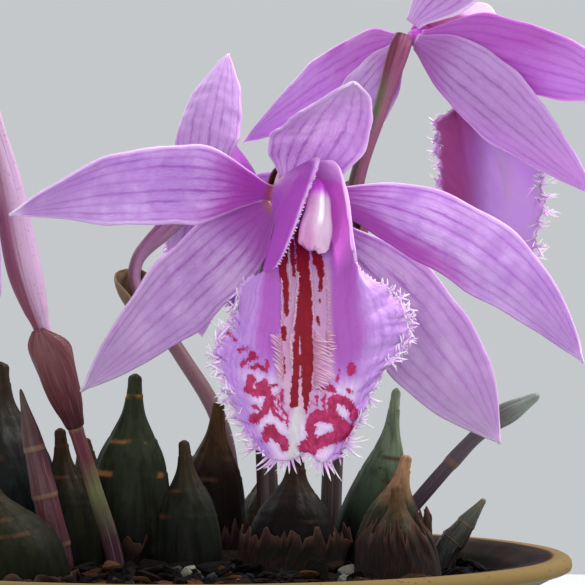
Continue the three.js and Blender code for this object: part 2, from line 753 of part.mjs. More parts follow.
// The compost fills the pan, its surface mounded and lumpy, with sockets for all that stands in it
function compostGeometry() {
  const { neckRadius, wall, footRadius, floor, lower, upper } = PAN;
  const { level, mound, relief, rings, sectors } = COMPOST;
  const clear = GAP + 0.25;
  const edge = neckRadius - wall - clear;
  const loops = [];
  const loop = (radius, heightAt) => {
    const row = [];
    for (let k = 0; k < sectors; k++) {
      const turn = (2 * Math.PI * k) / sectors;
      const [x, y] = [radius * Math.cos(turn), radius * Math.sin(turn)];
      row.push(vector(x, y, heightAt(x, y)));
    }
    loops.push(row);
  };
  const surface = (x, y) => {
    const r = Math.hypot(x, y) / edge;
    const lumps = Math.sin(0.52 * x + 1.3) * Math.sin(0.47 * y) + 0.6 * Math.sin(0.9 * x - 1.1 * y);
    return level + mound * (1 - r * r) + relief * lumps * (1 - 0.4 * r);
  };
  const rounding = 1 / Math.cos(Math.PI / sectors);
  loop(footRadius - wall - 5, () => floor + clear);
  loop((footRadius - wall - 2 - clear) / rounding, () => floor + 1 + clear);
  loop((footRadius + lower.spread - wall - clear) / rounding, () => lower.height);
  loop((neckRadius - upper.inset - wall - clear) / rounding, () => upper.height);
  for (let i = 0; i < rings; i++) loop((edge / rounding) * (1 - i / rings), surface);
  const body = solidFrom(ringGeometry(loops));
  const sockets = [
    ...BULBS.map((bulb) => bulbGeometry(bulb, GAP)),
    ...RODS.map((rod) => rodOf(rod, GAP)),
    ...BLOOMS.map((bloom) => stalkGeometry(bloom, GAP)),
  ];
  return geometryFrom(sockets.reduce((solid, hole) => solid.subtract(solidFrom(hole)), body));
}

const orchid = new THREE.Group();
orchid.name = "orchid";
orchid.add(named("pan", panGeometry(), "glaze"));
orchid.add(named("compost", compostGeometry(), "compost"));
BULBS.forEach((bulb) => orchid.add(named(bulb.name, bulbGeometry(bulb, 0), "bulb")));
RODS.forEach((rod) => orchid.add(named(rod.name, rodOf(rod, 0), rod.material)));
HUSKS.forEach((husk) => orchid.add(named(husk.name, huskGeometry(husk), "husk")));
BLOOMS.forEach((bloom) => {
  orchid.add(named(`${bloom.name}_stalk`, stalkGeometry(bloom, 0), "stalk"));
  orchid.add(named(`${bloom.name}_bract`, bractGeometry(bloom), "bract"));
  orchid.add(bloomGroup(bloom));
});

export default orchid;
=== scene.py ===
import bmesh
import bpy
import numpy as np
from mathutils import Matrix, Vector, noise


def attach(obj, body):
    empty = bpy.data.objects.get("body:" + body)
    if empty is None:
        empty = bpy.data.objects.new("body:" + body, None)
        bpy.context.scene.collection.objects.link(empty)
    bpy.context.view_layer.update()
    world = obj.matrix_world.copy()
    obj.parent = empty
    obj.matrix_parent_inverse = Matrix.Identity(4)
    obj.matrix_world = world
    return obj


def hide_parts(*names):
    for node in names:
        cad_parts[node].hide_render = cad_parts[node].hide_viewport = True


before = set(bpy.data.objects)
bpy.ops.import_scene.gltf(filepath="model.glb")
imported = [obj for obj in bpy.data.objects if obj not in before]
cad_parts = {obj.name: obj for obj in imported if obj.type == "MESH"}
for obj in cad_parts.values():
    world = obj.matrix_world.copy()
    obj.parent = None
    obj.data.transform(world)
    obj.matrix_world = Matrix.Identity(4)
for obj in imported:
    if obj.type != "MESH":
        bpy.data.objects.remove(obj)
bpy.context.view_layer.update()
mm = 0.001


# Curves

# a smooth curve through [place, value] pairs, level at its two ends
def along(pairs, at):
    places, values = np.array(pairs, float).T
    at = np.clip(np.asarray(at, float), places[0], places[-1])
    k = np.clip(np.searchsorted(places, at, side="right") - 1, 0, len(places) - 2)
    slopes = np.zeros(len(places))
    slopes[1:-1] = (values[2:] - values[:-2]) / (places[2:] - places[:-2])
    span = places[k + 1] - places[k]
    t = (at - places[k]) / span
    rise = (1 + 2 * t) * (1 - t) ** 2 * values[k] + t * t * (3 - 2 * t) * values[k + 1]
    return rise + span * (t * (1 - t) ** 2 * slopes[k] - t * t * (1 - t) * slopes[k + 1])


# the four points round a place on a smooth curve, weighed; t runs from 0 at the second of them
# to 1 at the third
def weighed(points, t):
    before, here = -t / 2 + t * t - t**3 / 2, 1 - 2.5 * t * t + 1.5 * t**3
    after, beyond = t / 2 + 2 * t * t - 1.5 * t**3, -t * t / 2 + t**3 / 2
    return points[0] * before + points[1] * here + points[2] * after + points[3] * beyond


# the smooth curve through evenly counted points, at 0 for the first of them
def splineThrough(points, at):
    points = np.asarray(points, float)
    last = len(points) - 1
    at = np.atleast_1d(np.asarray(at, float))
    k = np.clip(np.floor(at).astype(int), 0, last - 1)
    t = (at - k).reshape((-1,) + (1,) * (points.ndim - 1))
    first, end = 2 * points[0] - points[1], 2 * points[last] - points[last - 1]
    line = np.concatenate([[first], points, [end]])
    return weighed([line[k + n] for n in range(4)], t)


def smoothstep(x, low, high):
    t = np.clip((np.asarray(x, float) - low) / (high - low), 0, 1)
    return t * t * (3 - 2 * t)


# 1 between the two middle values, and 0 before the first and after the last
def between(x, low, full, ending, high):
    return smoothstep(x, low, full) * (1 - smoothstep(x, ending, high))


# a rounded ridge, 1 high at 0
def peak(x, width):
    return np.exp(-((x / width) ** 2))


# how a rod narrows to a rounded end, from 1 down to the root of least
def roundedEnd(at, start, long, least):
    return np.sqrt(np.clip(1 - ((at - start) / long).clip(0) ** 2, least, 1))


# even steps from 0 to 1, one in each row
def evens(count):
    return np.linspace(0, 1, count)[:, None]


def turnsOf(count):
    return np.linspace(0, 2 * np.pi, count, endpoint=False)


# grids or numbers side by side, as the coordinates of points
def spread(*parts):
    return np.stack(np.broadcast_arrays(*parts), -1)


def unit(vectors):
    return vectors / np.maximum(np.linalg.norm(vectors, axis=-1, keepdims=True), 1e-9)


# how far along a line each of its points lies
def lengthsOn(line):
    return np.concatenate([[0], np.cumsum(np.linalg.norm(np.diff(line, axis=0), axis=1))])


# turns about x, y and z in one, for points in rows
def turning(x, y, z):
    turn = Matrix.Rotation(z, 3, "Z") @ Matrix.Rotation(x, 3, "X") @ Matrix.Rotation(y, 3, "Y")
    return np.array(turn).T


# places along a path, each with two directions square to it
def framesOn(points, count):
    last = len(points) - 1
    at = np.linspace(0, last, count)
    ahead = splineThrough(points, np.minimum(at + 0.05, last))
    ahead = unit(ahead - splineThrough(points, np.maximum(at - 0.05, 0)))
    sides = np.zeros_like(ahead)
    side = np.array([1.0, 0.0, 0.0])
    for i in range(count):
        side = unit(side - ahead[i] * side.dot(ahead[i]))
        sides[i] = side
    return splineThrough(points, at), sides, np.cross(ahead, sides)


# the direction that each point of a grid faces
def facings(grid):
    up, across = np.empty_like(grid), np.empty_like(grid)
    up[1:-1], up[0], up[-1] = grid[2:] - grid[:-2], grid[1] - grid[0], grid[-1] - grid[-2]
    across[:, 1:-1] = grid[:, 2:] - grid[:, :-2]
    across[:, 0], across[:, -1] = grid[:, 1] - grid[:, 0], grid[:, -1] - grid[:, -2]
    return unit(np.cross(up, across))


# smooth lumps of a given size, from -1 to 1
def lumps(points, size, seed=0):
    shift = Vector((seed * 7.3, seed * 3.1, seed * 5.7))
    flat = (np.asarray(points, float) / size).reshape(-1, 3)
    values = [noise.noise(Vector(p) + shift) for p in flat]
    return np.array(values).reshape(np.shape(points)[:-1])


# Bodies: points, faces, a place on the surface for each point, and other values by name

# how thick a blade is at its margin and in the rows next to it, as a part of its full thickness
marginRounding = np.array([0.3, 0.66, 0.88, 1.0])


def shapeOf(points, faces, uv=None, **fields):
    points = np.asarray(points, float).reshape(-1, 3)
    uv = np.zeros((len(points), 2)) if uv is None else np.asarray(uv, float).reshape(-1, 2)
    spreadOut = {name: np.broadcast_to(value, len(points)) for name, value in fields.items()}
    return {"points": points, "faces": faces, "uv": uv, "fields": spreadOut}


# several bodies as one; a value that a body lacks is 0 there
def joined(shapes):
    faces, fields, count = [], {}, 0
    for shape in shapes:
        faces += [[k + count for k in face] for face in shape["faces"]]
        count += len(shape["points"])
    for name in sorted({name for shape in shapes for name in shape["fields"]}):
        held = [s["fields"].get(name, np.zeros(len(s["points"]))) for s in shapes]
        fields[name] = np.concatenate(held)
    points, uv = (np.concatenate([shape[key] for shape in shapes]) for key in ("points", "uv"))
    return {"points": points, "faces": faces, "uv": uv, "fields": fields}


def gridFaces(rows, columns, closed=False):
    i, j = np.meshgrid(np.arange(rows - 1), np.arange(columns - (not closed)), indexing="ij")
    after = (j + 1) % columns
    low, high = i * columns, (i + 1) * columns
    return np.stack([low + j, low + after, high + after, high + j], -1).reshape(-1, 4)


def evenPlaces(rows, columns):
    return spread(np.linspace(0, 1, columns), evens(rows))


# a thin blade, rounded along its margin; relief rises from its inner face, back from the other
def bladeShape(grid, thick, relief=0.0, back=0.0, **fields):
    rows, columns = grid.shape[:2]
    fromEnd = np.minimum(np.arange(rows), np.arange(rows)[::-1])
    fromSide = np.minimum(np.arange(columns), np.arange(columns)[::-1])
    near = np.minimum.outer(fromEnd, fromSide)
    rounding = marginRounding[np.minimum(near, len(marginRounding) - 1)]
    normal = facings(grid)
    inner = grid + normal * ((thick / 2 + relief) * rounding)[..., None]
    outer = grid - normal * ((thick / 2 + back) * rounding)[..., None]
    shift = rows * columns
    margin = [(i, 0) for i in range(rows - 1)]
    margin += [(rows - 1, j) for j in range(columns - 1)]
    margin += [(i, columns - 1) for i in range(rows - 1, 0, -1)]
    margin += [(0, j) for j in range(columns - 1, 0, -1)]
    line = [i * columns + j for i, j in margin]
    faces = gridFaces(rows, columns)
    closing = [[a, b, b + shift, a + shift] for a, b in zip(line, line[1:] + line[:1])]
    everything = faces.tolist() + (faces[:, ::-1] + shift).tolist() + closing
    both = {"inner": np.repeat([1.0, 0.0], shift)}
    for name, value in fields.items():
        both[name] = np.tile(np.broadcast_to(value, (rows, columns)).ravel(), 2)
    uv = np.tile(evenPlaces(rows, columns).reshape(-1, 2), (2, 1))
    points = np.concatenate([inner.reshape(-1, 3), outer.reshape(-1, 3)])
    return shapeOf(points, everything, uv, **both)


# rings of points, closed with flat ends
def ringShape(rings, **fields):
    rows, sides = rings.shape[:2]
    faces = gridFaces(rows, sides, closed=True).tolist()
    faces += [list(range(sides))[::-1], [(rows - 1) * sides + k for k in range(sides)]]
    spreadOut = {n: np.broadcast_to(x, (rows, sides)).ravel() for n, x in fields.items()}
    return shapeOf(rings, faces, evenPlaces(rows, sides), **spreadOut)


# rings on a path; radius is told by the place from 0 to 1 and the turn round the path
def ringsOn(path, radius, count, sides):
    centres, side, other = framesOn(path, count)
    turn = turnsOf(sides)
    wide = np.broadcast_to(radius(evens(count), turn), (count, sides))[..., None]
    out = side[:, None] * np.cos(turn)[:, None] + other[:, None] * np.sin(turn)[:, None]
    return centres[:, None] + out * wide


def meshOf(name, shape):
    mesh = bpy.data.meshes.new(name)
    mesh.from_pydata((shape["points"] * mm).tolist(), [], shape["faces"])
    return mesh


def placed(name, data):
    piece = bpy.data.objects.new(name, data)
    bpy.context.scene.collection.objects.link(piece)
    return piece


def put(name, shape, finish, replaces=None, smooth=True):
    mesh = meshOf(name, shape)
    corners = np.empty(len(mesh.loops), int)
    mesh.loops.foreach_get("vertex_index", corners)
    layer = mesh.uv_layers.new(name="surface")
    layer.data.foreach_set("uv", shape["uv"][corners].astype(np.float32).ravel())
    for label, values in shape["fields"].items():
        held = mesh.attributes.new(label, "FLOAT", "POINT")
        held.data.foreach_set("value", np.asarray(values, np.float32))
    work = bmesh.new()
    work.from_mesh(mesh)
    bmesh.ops.recalc_face_normals(work, faces=work.faces)
    work.to_mesh(mesh)
    work.free()
    mesh.polygons.foreach_set("use_smooth", [smooth] * len(mesh.polygons))
    mesh.materials.append(finish)
    mesh.update()
    piece = placed(name, mesh)
    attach(piece, "root")
    if replaces:
        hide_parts(replaces)
    return piece


# Finishes: each helper adds its nodes to the finish on the bench, the one that was begun last

bench = {}


# a colour as a screen shows it, from 0 to 255
def tone(red, green, blue):
    shown = np.array([red, green, blue]) / 255
    linear = np.where(shown <= 0.04045, shown / 12.92, ((shown + 0.055) / 1.055) ** 2.4)
    return (*linear.tolist(), 1.0)


# a colour is one of the finish's own tones by its name, or a tone, or four numbers used as they are
def wire(value, socket):
    if isinstance(value, str):
        value = bench["tones"][value]
    if isinstance(value, bpy.types.NodeSocket):
        bench["tree"].links.new(value, socket)
    else:
        socket.default_value = tone(*value) if socket.type == "RGBA" and len(value) == 3 else value


def beginFinish(name, tones, **sockets):
    material = bpy.data.materials.new(name)
    material.use_nodes = True
    shader = material.node_tree.nodes["Principled BSDF"]
    for socket, value in sockets.items():
        shader.inputs[socket.replace("_", " ")].default_value = value
    bench.update(material=material, tree=material.node_tree, shader=shader, tones=tones)


def add(kind, inputs, **settings):
    made = bench["tree"].nodes.new("ShaderNode" + kind)
    for key, value in settings.items():
        setattr(made, key, value)
    for key, value in inputs.items():
        wire(value, made.inputs[key])
    return made


# gives the finish on the bench its colour, roughness and relief, and hands it over
def endFinish(skin, rough=None, height=None, distance=0.0, strength=1.0):
    sockets = bench["shader"].inputs
    wire(skin, sockets["Base Color"])
    if rough is not None:
        wire(rough, sockets["Roughness"])
    if height is not None:
        bump = add("Bump", {"Height": height, "Distance": distance, "Strength": strength})
        wire(bump.outputs[0], sockets["Normal"])
    return bench["material"]


def calc(operation, *values):
    return add("Math", dict(enumerate(values)), operation=operation).outputs[0]


def plus(first, second):
    return calc("ADD", first, second)


def times(first, second):
    return calc("MULTIPLY", first, second)


# how far a pattern is above or below its middle
def swing(pattern, much):
    return times(calc("SUBTRACT", pattern, 0.5), much)


def swayed(value, pattern, much):
    return plus(value, swing(pattern, much))


# from start at low to end at high, smooth between
def ease(value, low, high, start=0.0, end=1.0):
    entries = dict(enumerate((value, low, high, start, end)))
    return add("MapRange", entries, interpolation_type="SMOOTHSTEP").outputs[0]


def blendTones(share, first, second, mode="MIX"):
    return add("Mix", {0: share, 6: first, 7: second}, data_type="RGBA", blend_type=mode).outputs[2]


# coats over a skin, each told as a tone, what it follows, where that begins and is full, how much
# of the coat there is then, and how it is blended where that isn't a plain mix
def coated(skin, *coats):
    for colour, value, low, high, most, *mode in coats:
        skin = blendTones(ease(value, low, high, 0, most), skin, colour, *mode)
    return skin


def toneRamp(value, stops):
    made = add("ValToRGB", {"Fac": value})
    ramp = made.color_ramp
    for k, (at, colour) in enumerate(stops):
        stop = ramp.elements[k] if k < 2 else ramp.elements.new(at)
        stop.position = at
        stop.color = tone(*colour)
    return made.outputs["Color"]


def told(name):
    return add("Attribute", {}, attribute_name=name).outputs["Fac"]


def spots(vector, scale, detail=3.0, rough=0.55):
    inputs = {"Vector": vector, "Scale": scale, "Detail": detail, "Roughness": rough}
    return add("TexNoise", inputs).outputs["Fac"]


def cells(vector, scale, feature="F1", output="Distance"):
    return add("TexVoronoi", {"Vector": vector, "Scale": scale}, feature=feature).outputs[output]


# even lines that run up a surface, so many across it
def rays(across, count):
    return calc("COSINE", times(across, 2 * np.pi * count))


def stretched(vector, scale):
    return add("Mapping", {"Vector": vector, "Scale": scale}).outputs[0]


def streaked(scale, detail=3.0, rough=0.55):
    return spots(stretched(onSurface(), scale), 1.0, detail, rough)


def inSpace():
    return add("TexCoord", {}).outputs["Object"]


def onSurface():
    return add("UVMap", {}, uv_map="surface").outputs[0]


# a place on the surface as its part across and its part up
def acrossAndUp():
    return add("SeparateXYZ", {"Vector": onSurface()}).outputs[:2]


# Camera, lights and floor

view = {
    "place": (0.0173, -0.58, 0.0959),
    "lens": 211.5,
    "sensor": 36,
    "background": (197, 200, 203),
    "lampTarget": (0.01, 0, 0.1),
}

floorForm = {"radius": 0.6, "sides": 96, "dark": (184, 186, 188), "light": (192, 194, 195)}

lamps = {
    "key": {"place": (0.62, 0.3, 1.0), "size": 0.6, "power": 19.5, "warmth": (1.0, 0.985, 0.96)},
    "front": {"place": (-0.15, -1.15, 0.12), "size": 0.8, "power": 7.6, "warmth": (1.0, 0.99, 0.99)},
    "back": {"place": (-0.55, 0.85, 0.7), "size": 0.7, "power": 5.0, "warmth": (0.97, 0.98, 1.0)},
}


def setCamera():
    eye = bpy.data.cameras.new("eye")
    eye.sensor_width = view["sensor"]
    eye.lens = view["lens"]
    eye.clip_start = 0.01
    stand = placed("eye", eye)
    stand.location = view["place"]
    stand.rotation_euler = (np.pi / 2, 0, 0)
    bpy.context.scene.camera = stand


def setLamps():
    for name, lamp in lamps.items():
        light = bpy.data.lights.new(name, "AREA")
        light.shape = "DISK"
        light.size = lamp["size"]
        light.energy = lamp["power"]
        light.color = lamp["warmth"]
        held = placed(name, light)
        held.location = lamp["place"]
        aim = Vector(view["lampTarget"]) - Vector(lamp["place"])
        held.rotation_euler = aim.to_track_quat("-Z", "Y").to_euler()


def setStage():
    scene = bpy.context.scene
    scene.view_settings.view_transform = "Standard"
    setCamera()
    setLamps()
    world = bpy.data.worlds.new("studio")
    world.use_nodes = True
    backdrop = world.node_tree.nodes["Background"].inputs
    backdrop["Color"].default_value = tone(*view["background"])
    backdrop["Strength"].default_value = 1.0
    scene.world = world
    mesh = bpy.data.meshes.new("floor")
    radius = floorForm["radius"]
    ring = [(radius * np.cos(a), radius * np.sin(a), 0) for a in turnsOf(floorForm["sides"])]
    mesh.from_pydata(ring, [], [range(len(ring))])
    beginFinish("pale floor", floorForm, Roughness=0.75)
    mesh.materials.append(endFinish(blendTones(spots(inSpace(), 60.0, 5.0), "dark", "light")))
    placed("floor", mesh)


setStage()
print("stage ready")


# Where the four blooms stand and how each one is turned, as in the solids

blooms = {
    "front": {
        "centre": (15.7, -8, 112), "yaw": 20, "nod": 2, "roll": 8, "size": 1, "mirrored": False,
        "rows": 13, "grid": (110, 44), "lip": (196, 144),
        "path": [
            [13.4, 15, 38], [13, 17, 60], [12.2, 18.5, 84], [13.4, 17.6, 101], [16.2, 13.4, 111.6],
            [17.2, 6.6, 115.6], [16.6, -0.8, 115], [15.6, -6.2, 112.7],
        ],
        "bract": (0.5, 0.72),
    },
    "right": {
        "centre": (38.2, 44, 142.6), "yaw": 128, "nod": -2, "roll": -2, "size": 1, "mirrored": True,
        "rows": 8, "grid": (60, 26), "lip": (92, 62),
        "path": [
            [24, 30, 38], [24.2, 30.5, 60], [25.6, 35, 85], [27.4, 40, 107], [29.4, 41.6, 118],
            [33.2, 41.6, 129], [36.2, 41.8, 138.6], [37.5, 43, 142.2],
        ],
        "bract": (0.34, 0.55),
        "wine": (45, 59),    # from left to right its lip's back turns from painted shade, a dark red, to painted light, a bright lilac
    },
    "rear": {
        "centre": (1, 50, 113.5), "yaw": 160, "nod": -25, "roll": 4, "size": 0.88, "mirrored": False,
        "rows": 8, "grid": (60, 26), "lip": (92, 62),
        "path": [
            [7.6, 30, 38], [7.2, 30, 52], [4.8, 31, 71.5], [-3, 38, 85], [-10.4, 43, 95],
            [-11, 45, 101.5], [-6.4, 47, 107], [-0.4, 48.9, 112.2],
        ],
        "bract": (0.5, 0.7),
    },
    "left": {
        "centre": (-34.3, -15, 129), "yaw": -97, "nod": 4, "roll": 3, "size": 0.95, "mirrored": True,
        "rows": 8, "grid": (60, 26), "lip": (92, 62),
        "path": [
            [-10.8, -5, 38], [-12.4, -6, 51.5], [-15.6, -8, 63], [-18.8, -11, 74], [-21.6, -13, 83],
            [-24.4, -14.4, 91.5], [-27, -15, 100.5], [-29, -15, 111], [-31.3, -15, 121.5],
            [-33.2, -15, 128.9],
        ],
        "radius": [
            [0, 1.7], [0.3, 1.3], [0.54, 1.5], [0.58, 2.2], [0.66, 3], [0.8, 2.6], [0.9, 1.8],
            [1, 1.6],
        ],
        "flare": 0.75, "bract": (0.33, 0.54), "bractTurn": -100,
    },
}


# from a bloom's own right, back and up to the place where it stands
def intoPlace(bloom, points):
    turn = turning(*np.radians([bloom["nod"], bloom["roll"], bloom["yaw"]]))
    return np.asarray(points) @ turn + np.array(bloom["centre"], float)


# The pan: a thrown bowl under a dark iron glaze that breaks to ochre on its edges

pan = {
    "belly": [[42, 1], [48.5, 16], [54, 33], [57.6, 46.5]],
    "rim": [
        [57.6, 46.5], [62.3, 49], [64.5, 49.6], [64.5, 51.3], [63.3, 52], [58.5, 51.6], [55.4, 49.8],
        [53, 46],
    ],
    "inside": [[53, 46], [49.4, 33], [43.9, 16], [35.4, 7]],
    "floor": [[35.4, 7], [32.9, 6], [0.5, 6]],
    "foot": [[0.5, 0], [41, 0], [42, 1]],
    "wallSteps": 22,
    "sides": 120,
    "ringStep": 2.7,
    "ringDepth": 0.13,
    "wobble": 0.12,
    "drain": {"radius": 3.5, "circle": 22, "count": 3, "sides": 36, "from": -4, "to": 10},
    "glaze": (34, 22, 17),
    "deep": (20, 13, 12),
    "break": (118, 98, 60),
    "rust": (66, 40, 25),
    "specks": (64, 42, 26),
    "clay": (122, 84, 60),
    "darkClay": (92, 62, 44),
}


# short steps along a bent line, its corners slightly rounded
def softLine(points, step=1.1, rounds=2):
    points = np.array(points, float)
    line = [points[0]]
    for a, b in zip(points[:-1], points[1:]):
        parts = max(int(np.linalg.norm(b - a) / step), 1)
        line += [a + (b - a) * k / parts for k in range(1, parts + 1)]
    line = np.array(line)
    for _ in range(rounds):
        quarter = line[:-1] * 0.75 + line[1:] * 0.25
        threeQuarter = line[:-1] * 0.25 + line[1:] * 0.75
        cut = np.stack([quarter, threeQuarter], 1).reshape(-1, 2)
        line = np.concatenate([line[:1], cut[1:-1], line[-1:]])
    return line[np.r_[0 : len(line) : 2, len(line) - 1]]


# the pan's whole outline, from its foot over the rim to the floor inside
def panLine():
    places = np.linspace(0, 3, pan["wallSteps"])
    belly, inside = (splineThrough(pan[part], places) for part in ("belly", "inside"))
    return softLine([*pan["foot"][:-1], *belly, *pan["rim"][1:-1], *inside, *pan["floor"][1:]])


# how sharply a line bends at each of its points, evened out over five of them
def bendsOf(line):
    tangent = np.gradient(line, axis=0)
    angle = np.unwrap(np.arctan2(tangent[:, 1], tangent[:, 0]))
    bend = np.abs(np.gradient(angle)) / np.linalg.norm(tangent, axis=1)
    return np.convolve(np.pad(bend, 2, mode="edge"), np.ones(5) / 5, "valid")


def makePan():
    line = panLine()
    turn = turnsOf(pan["sides"])
    r, z = line[:, :1], line[:, 1:]
    outer = (np.arange(len(line)) < np.argmax(line[:, 0]))[:, None]
    onWall = between(z, 4, 9, 43, 46)
    spiral = np.sin(2 * np.pi * (z / pan["ringStep"]) + turn + 0.8 * np.sin(2 * turn + z / 9))
    fade = 0.6 + 0.4 * np.sin(z / 6.1 + 2 * np.sin(turn))
    rings = pan["ringDepth"] * spiral * fade * onWall * np.where(outer, 1, 0.5)
    wobble = pan["wobble"] * (1 + np.sin(2 * turn + 0.7)) * smoothstep(z, 10, 50)
    wide = np.maximum(r + rings - wobble * (r > 5), 0.4)
    points = spread(wide * np.cos(turn), wide * np.sin(turn), z)
    # the glaze is thin where the rim bends, and thinnest on its lip
    lip = 0.85 * smoothstep(r, 60.2, 62.4) * smoothstep(z, 48.2, 50.8)
    edge = np.clip(0.4 * bendsOf(line)[:, None], 0, 0.35) * smoothstep(z, 44, 48) + lip
    edge = edge + 0.2 * np.clip(spiral, 0, 1) * onWall * outer
    bare = (1 - smoothstep(z, 1.6, 2.4)) * outer
    shape = ringShape(points, edge=edge, bare=bare, inside=1.0 - outer)
    piece = put("pan_body", shape, panFinish(), "pan")
    for k in range(pan["drain"]["count"]):
        drill(piece, np.radians(90 + 360 * k / pan["drain"]["count"]))


def drill(piece, angle):
    drain = pan["drain"]
    middle = np.array([np.cos(angle), np.sin(angle), 0]) * drain["circle"]
    path = [middle + [0, 0, drain["from"]], middle + [0, 0, drain["to"]]]
    rings = ringsOn(path, lambda at, turn: drain["radius"] + 0 * at, 2, drain["sides"])
    cutter = placed("drain", meshOf("drain", ringShape(rings)))
    hole = piece.modifiers.new("drain", "BOOLEAN")
    hole.operation = "DIFFERENCE"
    hole.object = cutter
    bpy.context.view_layer.update()
    drilled = piece.evaluated_get(bpy.context.evaluated_depsgraph_get())
    drilled = bpy.data.meshes.new_from_object(drilled)
    piece.modifiers.clear()
    piece.data = drilled
    bpy.data.objects.remove(cutter)


def panFinish():
    beginFinish("iron glaze", pan, Specular_IOR_Level=0.08)
    place = inSpace()
    cloud = spots(place, 38.0, 5.0, 0.6)
    fine = spots(place, 900.0, 3.0, 0.6)
    runs = spots(stretched(place, (150, 150, 16)), 1.0, 4.0)
    worn = swayed(told("edge"), cloud, 0.9)
    glaze = coated(
        "glaze",
        ("deep", cloud, 0.35, 0.62, 1.0),
        ("rust", runs, 0.56, 0.74, 0.55),
        ("rust", worn, 0.12, 0.42, 1.0),
        ("break", worn, 0.32, 0.72, 1.0),
        ("specks", fine, 0.63, 0.7, 0.6),
    )
    bare = told("bare")
    skin = blendTones(bare, glaze, blendTones(fine, "clay", "darkClay"))
    rough = plus(ease(cloud, 0.3, 0.7, 0.42, 0.58), times(bare, 0.5))
    rough = plus(rough, times(told("inside"), 0.4))
    return endFinish(skin, rough, plus(times(fine, 0.3), cloud), 0.0004, 0.4)


makePan()
print("pan ready")


# The bulbs: flask-shaped, half buried, each with a dried beak where its leaves fell

bulbShape = [
    [0, 0.45], [0.14, 0.86], [0.3, 1], [0.5, 0.94], [0.64, 0.74], [0.74, 0.46], [0.82, 0.27],
    [0.9, 0.19], [1, 0.14],
]
bulbFoot = 38

bulbs = {
    "left_front": {
        "foot": (-30, -24), "tip": (-33, -25, 67), "radius": 12, "ribs": 0.006,
        "tones": [(10, 13, 5), (19, 23, 8), (32, 34, 16), (54, 40, 28)],
    },
    "left_rear": {
        "foot": (-34, 13), "tip": (-33.4, 13, 84), "radius": 11.6, "ribs": 0.012,
        "tones": [(12, 14, 15), (20, 23, 25), (28, 30, 27), (52, 42, 32)],
    },
    "left_inner": {
        "foot": (-20.5, 0), "tip": (-22, 1, 73), "radius": 6, "ribs": 0.014,
        "tones": [(11, 12, 9), (20, 22, 14), (32, 32, 20), (56, 40, 26)],
    },
    "tall": {
        "foot": (-11, 10), "tip": (-9.6, 9, 82), "radius": 7.5, "ribs": 0.016,
        "tones": [(15, 16, 12), (28, 30, 23), (42, 48, 32), (54, 62, 42)],
        "scar": (158, 104, 56),
    },
    "grey": {
        "foot": (0, 0), "tip": (-1, 0, 71), "radius": 5.6, "ribs": 0.02,
        "tones": [(11, 13, 11), (23, 26, 21), (34, 37, 30), (60, 50, 36)],
    },
    "middle": {
        "foot": (17, -2), "tip": (18, -1, 69), "radius": 8.2, "ribs": 0.012,
        "tones": [(8, 7, 7), (15, 12, 11), (24, 19, 17), (56, 42, 32)],
    },
    "maroon": {
        "foot": (2.5, 20.5), "tip": (4.5, 21, 77), "radius": 6.5, "ribs": 0.018,
        "tones": [(10, 6, 6), (18, 11, 11), (30, 22, 16), (80, 56, 36)],
    },
    "green_tip": {
        "foot": (28.5, 12), "tip": (35.2, 10, 79.5), "radius": 5.2, "bend": (1.6, 0, -1), "ribs": 0.014,
        "tones": [(12, 15, 12), (22, 28, 22), (70, 86, 64), (150, 166, 134)],
    },
    "tan_tip": {
        "foot": (32.6, -1), "tip": (36.6, 0, 68.5), "radius": 6, "ribs": 0.016,
        "tones": [(12, 22, 18), (20, 34, 28), (54, 52, 38), (172, 132, 98)],
    },
    "right_front": {
        "foot": (34.6, -15), "tip": (34.6, -13, 64), "radius": 6.4, "ribs": 0.012,
        "tones": [(12, 16, 11), (22, 27, 19), (44, 42, 28), (100, 74, 50)],
    },
    "rear_left": {
        "foot": (-18, 33), "tip": (-20, 34, 70), "radius": 8, "ribs": 0.014,
        "tones": [(24, 29, 20), (38, 44, 30), (54, 56, 38), (80, 62, 42)],
    },
    "rear_middle": {
        "foot": (12, 43), "tip": (13, 43, 66), "radius": 6.5, "ribs": 0.014,
        "tones": [(26, 23, 19), (40, 38, 28), (56, 52, 38), (82, 62, 44)],
    },
}


bulbForm = {
    "rings": 84, "sides": 44, "ribs": 11, "fineRibs": 23, "dent": 0.016, "scarRise": 0.14,
    "scarGroove": 0.08, "fray": 0.16, "scar": (70, 46, 30), "streak": (28, 22, 20), "dark": (26, 18, 16),
}


def bulbPath(bulb):
    foot, tip = np.array([*bulb["foot"], bulbFoot], float), np.array(bulb["tip"], float)
    path = []
    for k, at in enumerate((0, 0.35, 0.7, 1)):
        straight = foot + (tip - foot) * at
        upright = np.array([foot[0], foot[1], straight[2]])
        bowed = upright + (straight - upright) * at
        path.append(bowed + np.array(bulb.get("bend", (0, 0, 0))) * (k == 2))
    return path


